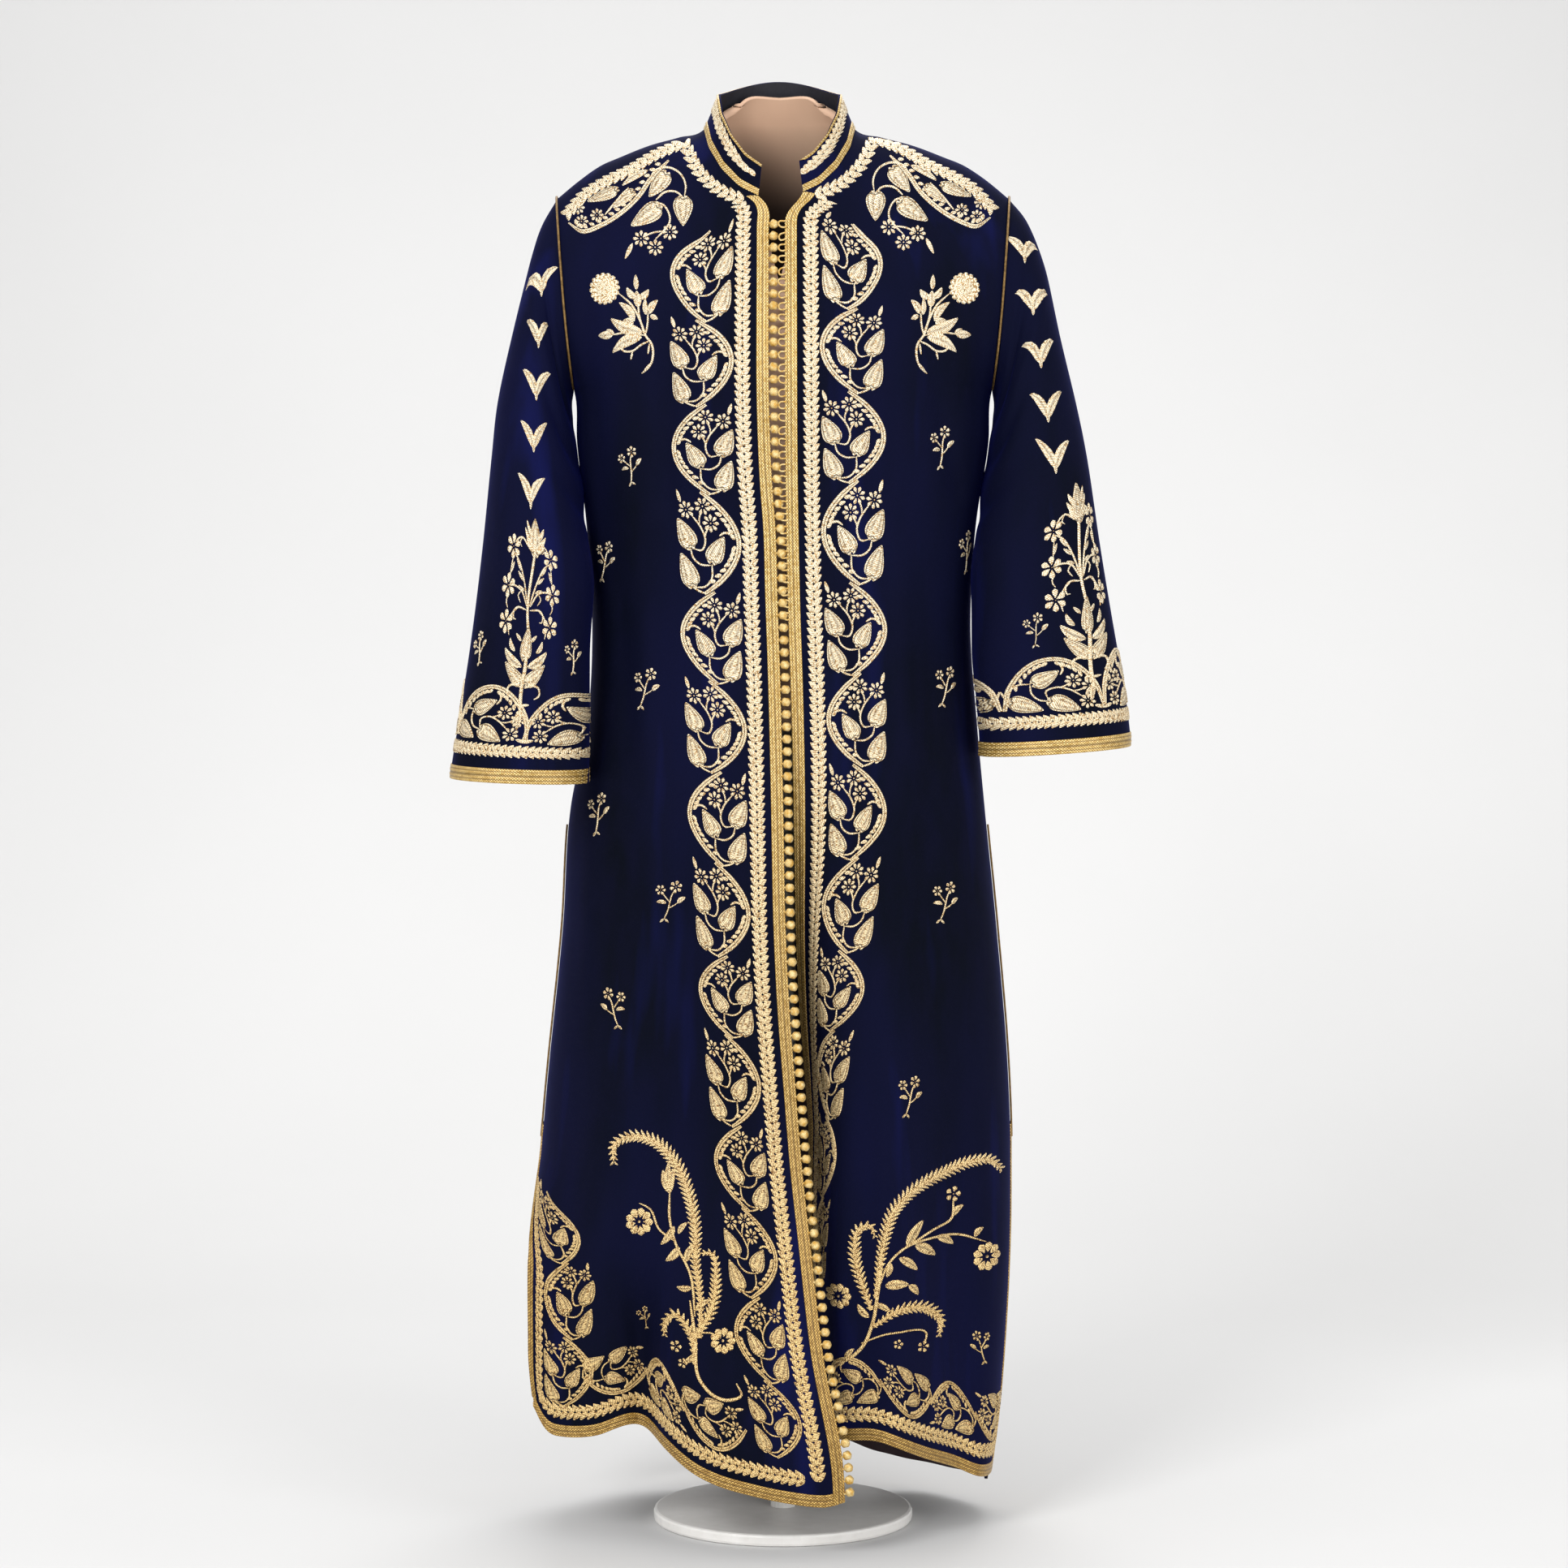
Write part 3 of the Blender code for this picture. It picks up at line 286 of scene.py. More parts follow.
# the deep and lit tones are painted shade and highlight of the stitches; the last colour is the gaps'
# painted shade
THREAD = make_gold("gold thread", hatched, 0.30, ("#785322", "#a88350"), ("#fbdc9a", "#fff6da"),
                   (0.28, 0.95, 0.0, 0.90), "#1a1418", 0.0006)
BRAID_GOLD = make_gold("gold braid", woven, 0.52, ("#7c5a20", "#a5802f"), ("#ecc670", "#ffeab0"),
                       (0.2, 1.0, 0.0, 0.75), "#4a3312", 0.0004)
CORD_GOLD = make_cord("gold cord", "#d8a848", "#f6dfa0")
PIPING_GOLD = make_cord("worn gold piping", "#6e5428", "#9a7a44")
SKIN = make_plain("smooth matt beige form", "#cba58a", "#d6b296", 0.6, 14.0, 0.0001)
STAND = make_plain("pale satin paint", "#dfddd9", "#e8e6e3", 0.35, 60.0, 0.00005)
PAPER = make_plain("pale paper backdrop", "#cbcbcb", "#cecece", 0.9, 1.2, 0.0001)

# painted shade: the form's inner wall is darkened towards the bottom, as far as the shade its points carry
# says
tree = SKIN.node_tree
beige = tree.nodes["Principled BSDF"].inputs["Base Color"]
tree.links.new(mix(tree, painted_shade(tree), beige.links[0].from_socket, "#26130d"), beige)
print(len(bpy.data.materials), "materials")

# %% [markdown]
# ## The shape of the cloth
#
# The caftan hangs from the shoulders and neck of the form. Each height has a half width and a depth, and
# the outline across the body is a superellipse, which is fuller at the sides than an ellipse. Above the
# armpit the same outline shrinks along a quarter ellipse that closes on the shoulder ridge. That gives
# both fronts and the back from one figure, so that their seams meet by themselves.
#
# Velvet is thick and heavy, so its folds are few and wide. Each is a bell-shaped rise or trough across a
# slanting line, which fades in from its top and runs on to the hem. They are placed one by one and are
# uneven, as a real hanging cloth has them.

# %% Tables of the figure
# metres: the wall of the cloth, the gap at a seam, the height of the armpits
CLOTH = 0.002
SEAM = 0.0003
ARMPIT = 1.130
# the side slits: their top, the height over which the right front turns round beside its slit, the height
# over which the slits come open, how far they open, and the shape of that turn
SLIT_TOP = 0.381
SLIT_FADE = 0.10
SLIT_SPREAD = 0.33
SLIT_OPEN = 0.014
SLIT_TURN = 0.66
SLIT_CURVE = 2.2
# how far behind the middle the shoulder ridge lies, the height over which the cloth gets there, and the
# power of the outline across the body
RIDGE_BACK = 0.010
RIDGE_FADE = 0.20
CURVE = 2.3
# the neck: its shift towards the wearer's right and where that ends, how the cloth closes beside it, half
# its width, its lowest point behind, and the share of the upper rows that lie below the collar
NECK_SHIFT = 0.0035
SHIFT_END = 0.20
SHIFT_FADE = 0.12
NECK_SOFT = 0.012
CLOSE_SLOPE = 0.25
CLOSE_FROM = 1.25
CLOSE_FADE = 0.12
NECK_SIDE = 0.0745
NECK_BACK_LOW = 1.398
COLLAR_ROW = 0.60
# rows of a sheet below and above the armpit, of a sleeve; points of a dense line; columns of a sheet
LOW_ROWS = 200
TOP_COUNT = 62
SLEEVE_ROWS = 110
FRONT_POINTS = 240
BACK_POINTS = 361
FRONT_COLUMNS = 84
BACK_COLUMNS = 150
# the row of a front that ends at the collar
CORNER = LOW_ROWS - 1 + round(COLLAR_ROW * (TOP_COUNT - 1))

# height, half width on the wearer's right and left, depth in front and behind
BODY = np.array([
    (0.02, 0.231, 0.203, 0.150, 0.150), (0.11, 0.241, 0.2155, 0.150, 0.148),
    (0.195, 0.2495, 0.2225, 0.148, 0.145), (0.296, 0.249, 0.227, 0.145, 0.142),
    (0.377, 0.2415, 0.2274, 0.142, 0.139), (0.448, 0.235, 0.225, 0.140, 0.136),
    (0.60, 0.2193, 0.2126, 0.135, 0.130), (0.72, 0.211, 0.2005, 0.130, 0.126),
    (0.80, 0.195, 0.193, 0.124, 0.119), (0.90, 0.1894, 0.1862, 0.118, 0.108),
    (1.00, 0.1950, 0.1915, 0.119, 0.106), (1.08, 0.2040, 0.2035, 0.123, 0.109),
    (1.13, 0.2066, 0.2066, 0.125, 0.112), (1.17, 0.2240, 0.2240, 0.124, 0.113),
    (1.22, 0.2440, 0.2440, 0.121, 0.111), (1.28, 0.2600, 0.2600, 0.115, 0.107),
    (1.36, 0.2600, 0.2600, 0.104, 0.100), (1.47, 0.2600, 0.2600, 0.094, 0.095)])

# distance from the neck's middle, height of the shoulder ridge
RIDGE = np.array([
    (0.0, 1.470), (0.030, 1.452), (0.055, 1.416), (NECK_SIDE, 1.3885), (0.10, 1.3805),
    (0.130, 1.3725), (0.160, 1.361), (0.180, 1.3525), (0.200, 1.339), (0.222, 1.321), (0.265, 1.283)])

# height, distance of the armhole seam from the middle
ARMHOLE = np.array([(1.13, 0.2066), (1.20, 0.2125), (1.25, 0.2165), (1.321, 0.2222), (1.34, 0.2235)])

# height, place of the front edges
EDGE_RIGHT = np.array([
    (0.04, 0.0605), (0.091, 0.0583), (0.2015, 0.0385), (0.298, 0.0272), (0.376, 0.0186), (0.454, 0.0122),
    (0.533, 0.0062), (0.612, 0.0025), (0.690, 0.0009), (0.769, -0.0006), (0.848, -0.0026), (0.926, -0.0052),
    (1.005, -0.0078), (1.03, -0.0098), (1.10, -0.0130), (1.165, -0.0138), (1.286, -0.0138), (1.31, -0.0165),
    (1.317, -0.0226)])
EDGE_LEFT = np.array([
    (0.407, 0.0258), (0.454, 0.0221), (0.533, 0.0161), (0.612, 0.0124), (0.690, 0.0108), (0.769, 0.0093),
    (0.848, 0.0073), (0.926, 0.0047), (1.005, 0.0030), (1.03, 0.0026), (1.10, 0.0020), (1.165, 0.0018),
    (1.286, 0.0018)])
EDGE_LEFT_LOW = np.array([(0.04, 0.034), (0.20, 0.0285), (0.33, 0.0262), (0.407, 0.0258)])
EDGE_JOIN = 0.407
BUTTON_GAP = 0.0098

# neckline from the front end of the collar to the shoulder: distance from the middle, height
NECK_RIGHT = np.array([(0.0226, 1.317), (0.043, 1.3275), (0.060, 1.345), (0.0725, 1.367), (0.078, 1.3885)])
NECK_LEFT = np.array([(0.0183, 1.321), (0.036, 1.3295), (0.053, 1.346), (0.0655, 1.367), (0.071, 1.3885)])

# hems: place from the wearer's right to left, height
HEM_RIGHT = np.array([
    (-0.250, 0.150), (-0.2445, 0.136), (-0.235, 0.117), (-0.216, 0.108), (-0.183, 0.1113), (-0.150, 0.1210),
    (-0.1335, 0.1170), (-0.115, 0.1043), (-0.090, 0.0876), (-0.065, 0.0755), (-0.030, 0.0655),
    (0.008, 0.0576), (0.040, 0.0540), (0.061, 0.0593)])
HEM_LEFT = np.array([
    (0.030, 0.112), (0.052, 0.1093), (0.0965, 0.1086), (0.148, 0.083), (0.2034, 0.0555), (0.215, 0.053)])
HEM_BACK = np.array([
    (-0.250, 0.150), (-0.236, 0.108), (-0.20, 0.084), (-0.158, 0.079), (-0.13, 0.066), (-0.095, 0.044),
    (-0.05, 0.029), (0.0, 0.030), (0.06, 0.051), (0.10, 0.040), (0.13, 0.032), (0.168, 0.030),
    (0.20, 0.034), (0.22, 0.045)])

# folds of each panel: top x and z, bottom x and z, half width, rise of the cloth (a trough is negative)
FOLDS = {
    "right": (
        (-0.109, 1.215, -0.113, 1.020, 0.011, -0.005), (-0.196, 1.290, -0.176, 0.960, 0.012, -0.005),
        (-0.090, 0.730, -0.096, 0.390, 0.020, -0.008), (-0.160, 0.560, -0.196, 0.100, 0.026, 0.012),
        (-0.138, 0.300, -0.134, 0.060, 0.016, -0.020)),
    "left": (
        (0.136, 1.190, 0.170, 1.030, 0.011, -0.005), (0.188, 0.960, 0.184, 0.760, 0.012, -0.006),
        (0.105, 0.620, 0.112, 0.080, 0.026, 0.018), (0.165, 0.520, 0.172, 0.060, 0.018, -0.010)),
    "back": (
        (-0.120, 0.700, -0.150, 0.030, 0.030, 0.014), (-0.060, 0.560, -0.065, 0.020, 0.024, -0.012),
        (0.012, 0.760, 0.010, 0.020, 0.032, 0.013), (0.080, 0.520, 0.088, 0.020, 0.022, -0.012),
        (0.125, 0.640, 0.148, 0.020, 0.028, 0.012))}
# finer creases than the CAD model has, in the same form
CREASES = {
    "right": (
        (-0.170, 1.120, -0.150, 0.800, 0.009, -0.0025), (-0.140, 1.000, -0.128, 0.640, 0.013, 0.0030),
        (-0.120, 0.620, -0.150, 0.330, 0.014, 0.0030), (-0.185, 0.930, -0.196, 0.560, 0.010, 0.0025)),
    "left": (
        (0.110, 1.100, 0.120, 0.700, 0.014, 0.0028), (0.150, 0.900, 0.140, 0.560, 0.012, -0.0028),
        (0.080, 0.980, 0.082, 0.640, 0.011, -0.0022), (0.195, 1.240, 0.190, 1.050, 0.008, -0.0030)),
    "back": (
        (-0.150, 1.180, -0.110, 0.800, 0.016, -0.0040), (0.145, 1.200, 0.105, 0.780, 0.017, -0.0040),
        (-0.030, 1.100, -0.035, 0.700, 0.018, 0.0030), (0.060, 1.000, 0.055, 0.640, 0.015, -0.0030),
        (-0.170, 0.800, -0.185, 0.350, 0.012, -0.0030))}
# how quickly a fold fades in from its top and, where it ends above FOLD_HIGH, out past its end
FOLD_IN = 2.2
FOLD_OUT = 6
FOLD_END = 1.12
FOLD_HIGH = 0.2
# the right front's swing forward and the left one's turn inward: size, top, how far each takes to fade in,
# and their place across the front
SWAY = 0.045
SWAY_TOP = 0.430
SWAY_FADE = 0.36
SWAY_FROM = -0.150
SWAY_WIDE = 0.075
TURN_BACK = 0.120
TURN_TOP = 0.880
TURN_FADE = 0.66
TURN_WIDTH = 0.012
TURN_SPREAD = 0.022

# sleeves: outer x and z, inner x and z, middle y, half depth
SLEEVE_RIGHT = np.array([
    (0.2222, 1.3210, 0.2072, 1.1300, 0.000, 0.056), (0.2385, 1.2920, 0.2090, 1.1130, -0.004, 0.057),
    (0.2490, 1.2570, 0.2060, 1.0900, -0.010, 0.058), (0.2660, 1.1870, 0.2015, 1.0600, -0.022, 0.061),
    (0.2800, 1.1200, 0.1950, 1.0200, -0.036, 0.063), (0.2860, 1.0640, 0.1910, 0.9850, -0.046, 0.064),
    (0.2950, 0.9740, 0.1855, 0.9350, -0.058, 0.065), (0.3050, 0.8880, 0.1885, 0.8700, -0.070, 0.065),
    (0.3150, 0.8200, 0.1885, 0.8080, -0.079, 0.064),
    (0.3234, 0.7666, 0.1888, 0.7620, -0.085, 0.063), (0.3246, 0.7526, 0.1888, 0.7480, -0.086, 0.063)])
SLEEVE_LEFT = np.array([
    (0.2222, 1.3210, 0.2072, 1.1300, 0.000, 0.056), (0.2420, 1.2950, 0.2090, 1.1130, -0.003, 0.057),
    (0.2590, 1.2490, 0.2055, 1.0900, -0.008, 0.058), (0.2735, 1.1820, 0.2010, 1.0600, -0.016, 0.061),
    (0.2895, 1.1140, 0.1935, 1.0200, -0.024, 0.063), (0.3000, 1.0600, 0.1890, 0.9850, -0.032, 0.064),
    (0.3120, 0.9800, 0.1850, 0.9400, -0.040, 0.065), (0.3250, 0.9000, 0.1850, 0.8800, -0.046, 0.065),
    (0.3360, 0.8370, 0.1895, 0.8260, -0.050, 0.065),
    (0.3412, 0.7960, 0.1925, 0.7860, -0.052, 0.065), (0.3413, 0.7820, 0.1925, 0.7720, -0.053, 0.065)])
SLEEVE_CURVE = 2.15
# creases of a sleeve: share of the way down, angle round it from the top, widths of both, rise
SLEEVE_CREASES = [
    (0.16, 1.9, 0.030, 0.9, -0.0040), (0.23, 1.2, 0.026, 0.7, 0.0030), (0.30, 2.3, 0.030, 0.8, -0.0040),
    (0.42, 2.7, 0.035, 0.8, -0.0035), (0.55, 2.4, 0.050, 0.6, 0.0030), (0.63, 0.6, 0.080, 0.4, -0.0025),
    (0.22, 4.4, 0.030, 0.8, -0.0040), (0.37, 4.0, 0.030, 0.8, 0.0035), (0.50, 4.3, 0.040, 0.7, -0.0040),
    (0.75, 5.2, 0.100, 0.4, 0.0025)]


# %% Lines and curves
def cubic(values, slopes, k, width, t):
    """The cubic piece after row k, with the values and slopes of both its ends; t runs from 0 to 1."""
    rise = values[k] * (2 * t**3 - 3 * t**2 + 1) + values[k + 1] * (3 * t**2 - 2 * t**3)
    return rise + width * (slopes[k] * (t**3 - 2 * t**2 + t) + slopes[k + 1] * (t**3 - t**2))


def smooth(table, column, at):
    """A curve through one column of a table, as cubic pieces that share their slopes at the rows."""
    xs = table[:, 0]
    ys = table[:, column]
    steps = np.diff(ys) / np.diff(xs)
    flat = np.concatenate(([False], steps[:-1] * steps[1:] <= 0, [False]))
    slopes = np.where(flat, 0.0, np.gradient(ys, xs))
    at = np.clip(at, xs[0], xs[-1])
    k = np.clip(np.searchsorted(xs, at) - 1, 0, len(xs) - 2)
    width = xs[k + 1] - xs[k]
    return cubic(ys, slopes, k, width, (at - xs[k]) / width)


def unit(vectors):
    """Vectors of length 1."""
    return vectors / np.linalg.norm(vectors, axis=-1, keepdims=True)


def distances(points):
    """Distance of each point along a line of points."""
    return np.concatenate(([0.0], np.cumsum(np.linalg.norm(np.diff(points, axis=0), axis=1))))


def length(points):
    """Length of a line of points."""
    return np.linalg.norm(np.diff(points, axis=0), axis=1).sum()


def between(places, run, values):
    """Rows of values at places between the distances in run."""
    return np.stack([np.interp(places, run, column) for column in values.T], axis=-1)


def along(points, places):
    """Points at the given distances along a line of points."""
    return between(places, distances(points), points)


def ease(value):
    """0 below 0, 1 above 1, and a soft step between."""
    t = np.clip(value, 0.0, 1.0)
    return t * t * (3 - 2 * t)


# %% Functions of the figure
def off_neck(x):
    """Distance from the neck's middle, which lies a little towards the wearer's right."""
    return np.abs(x + NECK_SHIFT * np.clip((SHIFT_END - np.abs(x)) / SHIFT_FADE, 0, 1))


def ridge(x):
    """Height of the shoulder ridge over a place across the body."""
    return smooth(RIDGE, 1, off_neck(x))


def closing(x, z):
    """Height where the cloth closes over a place: the ridge, but without the neck's rise lower down."""
    plain = RIDGE[3, 1] + CLOSE_SLOPE * (NECK_SIDE - off_neck(x))
    inside = ease((NECK_SIDE + NECK_SOFT - off_neck(x)) / (2 * NECK_SOFT))
    low = ridge(x) + (plain - ridge(x)) * inside
    return low + (ridge(x) - low) * ease((z - CLOSE_FROM) / CLOSE_FADE)


def half_width(x, z):
    """Half the width of the body at a height, on the side that x is on."""
    return np.where(x < 0, smooth(BODY, 1, z), smooth(BODY, 2, z))


def bulge(share):
    """The outline's height over a share of its half width: (1 - share^n)^(1/n)."""
    return np.clip(1 - share**CURVE, 0, 1) ** (1 / CURVE)


def middle_y(z):
    """Place of the body's middle from front to back. It moves back towards the shoulder ridge."""
    return RIDGE_BACK * ease((z - ARMPIT) / RIDGE_FADE)


def folds(panel, x, z):
    """Rise of the cloth: a bell across each fold's line, faded in from its top and kept to the hem."""
    total = np.zeros(np.broadcast(x, z).shape)
    for x_top, z_top, x_low, z_low, wide, rise in FOLDS[panel] + CREASES[panel]:
        down = (z_top - z) / (z_top - z_low)
        line = x_top + (x_low - x_top) * np.clip(down, 0, 1)
        fade = ease(down * FOLD_IN) * (ease((FOLD_END - down) * FOLD_OUT) if z_low > FOLD_HIGH else 1.0)
        total = total + rise * fade * np.exp(-((x - line) / wide) ** 2)
    return total


def sway(panel, x, z):
    """Swing of the fronts' lower edges: the right one hangs forward, the left one turns in behind it."""
    if panel == "right":
        return SWAY * ease((SWAY_TOP - z) / SWAY_FADE) * ease((x - SWAY_FROM) / SWAY_WIDE)
    if panel == "left":
        edge = front_edge("left", z)
        wide = TURN_WIDTH + TURN_SPREAD * np.clip((z - 0.25) / 0.50, 0, 1)
        fade = ease((TURN_TOP - z) / TURN_FADE)
        return -TURN_BACK * fade * np.exp(-np.clip((x - edge) / wide, 0, 9) ** 1.4)
    return np.zeros(np.broadcast(x, z).shape)


def surface(panel, x, z):
    """Point of the cloth's outside over (x, z): the superellipse |x / width|^n + |y / depth|^n = 1 of that
    height, times sqrt(1 - up^2) over the shoulders, plus the folds."""
    sign = 1.0 if panel == "back" else -1.0
    depth = smooth(BODY, 4 if panel == "back" else 3, z)
    share = np.clip(np.abs(x) / half_width(x, z), 0, 1)
    across = bulge(share)
    if panel == "right":
        turned = SLIT_TURN + (1 - SLIT_TURN) * (1 - share**SLIT_CURVE)
        across = across + (turned - across) * ease((SLIT_TOP - z) / SLIT_FADE) * (x < 0)
    up = np.clip((z - ARMPIT) / (closing(x, z) - ARMPIT), 0, 1)
    opening = SLIT_OPEN * np.clip((SLIT_TOP - z) / SLIT_SPREAD, 0, 1) * ease((share - 0.80) / 0.20)
    calm = np.clip((1 - share) / 0.12, 0, 1)
    out = depth * across * np.sqrt(1 - up**2) + opening + (folds(panel, x, z) + sway(panel, x, z)) * calm
    return np.stack(np.broadcast_arrays(x, middle_y(z) + sign * out, z), axis=-1)


def front_edge(panel, z):
    """Place of a front's edge. The two are a button's width apart, and further at the chest."""
    if panel == "right":
        return smooth(EDGE_RIGHT, 1, z)
    return np.where(z < EDGE_JOIN, smooth(EDGE_LEFT_LOW, 1, z), smooth(EDGE_LEFT, 1, z))


def armhole(side, row):
    """Point (x, z) of the armhole: row 0 is the armpit, row 1 the end of the shoulder seam."""
    angle = row * np.pi / 2
    z = ARMPIT + 0.19 * np.sin(angle)
    for _ in range(4):
        x = smooth(ARMHOLE, 1, z)
        z = ARMPIT + (ridge(side * x) - ARMPIT) * np.sin(angle)
    return side * x, z


def neck_point(panel, row):
    """Point (x, z) of a front's inner boundary above the armpit: its edge, then its neckline."""
    sign = -1 if panel == "right" else 1
    table = NECK_RIGHT if panel == "right" else NECK_LEFT
    corner = table[0, 1]
    if row <= COLLAR_ROW:
        z = ARMPIT + (corner - ARMPIT) * row / COLLAR_ROW
        x = front_edge(panel, z)
        if panel == "left":
            x = x + (table[0, 0] - x) * ease((z - 1.286) / (corner - 1.286)) ** 2
        return float(x), float(z)
    share = (row - COLLAR_ROW) / (1 - COLLAR_ROW) * (len(table) - 1)
    k = np.arange(len(table))
    return float(sign * np.interp(share, k, table[:, 0])), float(np.interp(share, k, table[:, 1]))


def front_line(panel, row, top):
    """A dense line across a front from its inner edge to its side seam or armhole."""
    side = -1 if panel == "right" else 1
    q = np.sin(np.linspace(0, 1, FRONT_POINTS) * np.pi / 2)
    if top:
        x_in, z_in = neck_point(panel, row)
        x_out, _ = armhole(side, row)
        start = np.arcsin(np.clip((z_in - ARMPIT) / (ridge(x_in) - ARMPIT), 0, 1))
        angle = start + (row * np.pi / 2 - start) * q
        x = x_in + (x_out - x_in) * q
        z = ARMPIT + (ridge(x) - ARMPIT) * np.sin(angle)
        return surface(panel, x, z + (z_in - z[0]) * (1 - q))
    hem = HEM_RIGHT if panel == "right" else HEM_LEFT
    z = np.full(FRONT_POINTS, ARMPIT * row + 0.08 * (1 - row))
    for _ in range(6):
        x_in = front_edge(panel, z)
        x = x_in + (side * half_width(side * np.ones(FRONT_POINTS), z) - x_in) * q
        low = smooth(hem, 1, x)
        z = low + (ARMPIT - low) * row
    return surface(panel, x, z)


def neck_angle(x):
    """Angle over the shoulder where the back ends: the neckline inside the neck, the ridge outside it."""
    off = off_neck(x)
    side_z = smooth(RIDGE, 1, NECK_SIDE)
    line = NECK_BACK_LOW + (side_z - NECK_BACK_LOW) * np.clip(off / NECK_SIDE, 0, 1) ** 2
    up = (line - ARMPIT) / (ridge(x) - ARMPIT)
    return np.where(off >= NECK_SIDE, np.pi / 2, np.arcsin(np.clip(up, 0, 1)))


def back_line(row, top):
    """A dense line across the back from the wearer's right to the left."""
    q = np.sin(np.linspace(-1, 1, BACK_POINTS) * np.pi / 2)
    if top:
        x_right, _ = armhole(-1, row)
        x_left, _ = armhole(1, row)
        x = np.where(q < 0, -q * x_right, q * x_left)
        return surface("back", x, ARMPIT + (ridge(x) - ARMPIT) * np.sin(neck_angle(x) * row))
    z = np.full(BACK_POINTS, ARMPIT * row + 0.03 * (1 - row))
    for _ in range(6):
        x = q * half_width(q, z)
        low = smooth(HEM_BACK, 1, x)
        z = low + (ARMPIT - low) * row
    return surface("back", x, z)


def sleeve_ring(row, angles, side):
    """Ring of a sleeve: a superellipse between its outer and inner points, as deep as the row says."""
    x_out, z_out, x_in, z_in, y, depth = row
    middle = np.array([side * (x_out + x_in) / 2, y, (z_out + z_in) / 2])
    arm = np.array([side * (x_out - x_in) / 2, 0, (z_out - z_in) / 2])
    c, s = (np.sign(v) * np.abs(v) ** (2 / SLEEVE_CURVE) for v in (np.cos(angles), np.sin(angles)))
    return middle + c[:, None] * arm - s[:, None] * np.array([0, depth, 0])


def normals(grid, outward, wrap=False):
    """Unit normals of a grid of points, turned to the side that the outward vectors point to."""
    rows = np.gradient(grid, axis=0)
    columns = np.gradient(grid, axis=1)
    if wrap:
        columns = (np.roll(grid, -1, axis=1) - np.roll(grid, 1, axis=1)) / 2
    turned = unit(np.cross(columns, rows))
    return turned * np.sign((turned * outward).sum(axis=2).mean())


def flatten(vectors, axis):
    """Vectors with one component taken out, so that both sides of a seam share them."""
    flat = vectors.copy()
    flat[..., axis] = 0
    return unit(flat)


# %% [markdown]
# ## A sheet of cloth as a table of points
#
# Every sheet is kept as a table: rows run up from the hem, columns run along each row. Whatever is sewn on
# the cloth asks the table for a place, and gets a point that is lifted off the cloth along its normal.
# There are three ways to ask:
#
# - by distance from an edge and distance up that edge, for braid and for the bands that follow an edge;
# - by a small flat drawing round one place, for a single flower or leaf;
# - by a drawing seen from the front, for the long sprays.


# %% The table of a sheet
NEWTON_STEPS = 14
NEWTON_REACH = 9


def turn_of(a, b):
    """The cross product of flat vectors."""
    return a[..., 0] * b[..., 1] - a[..., 1] * b[..., 0]


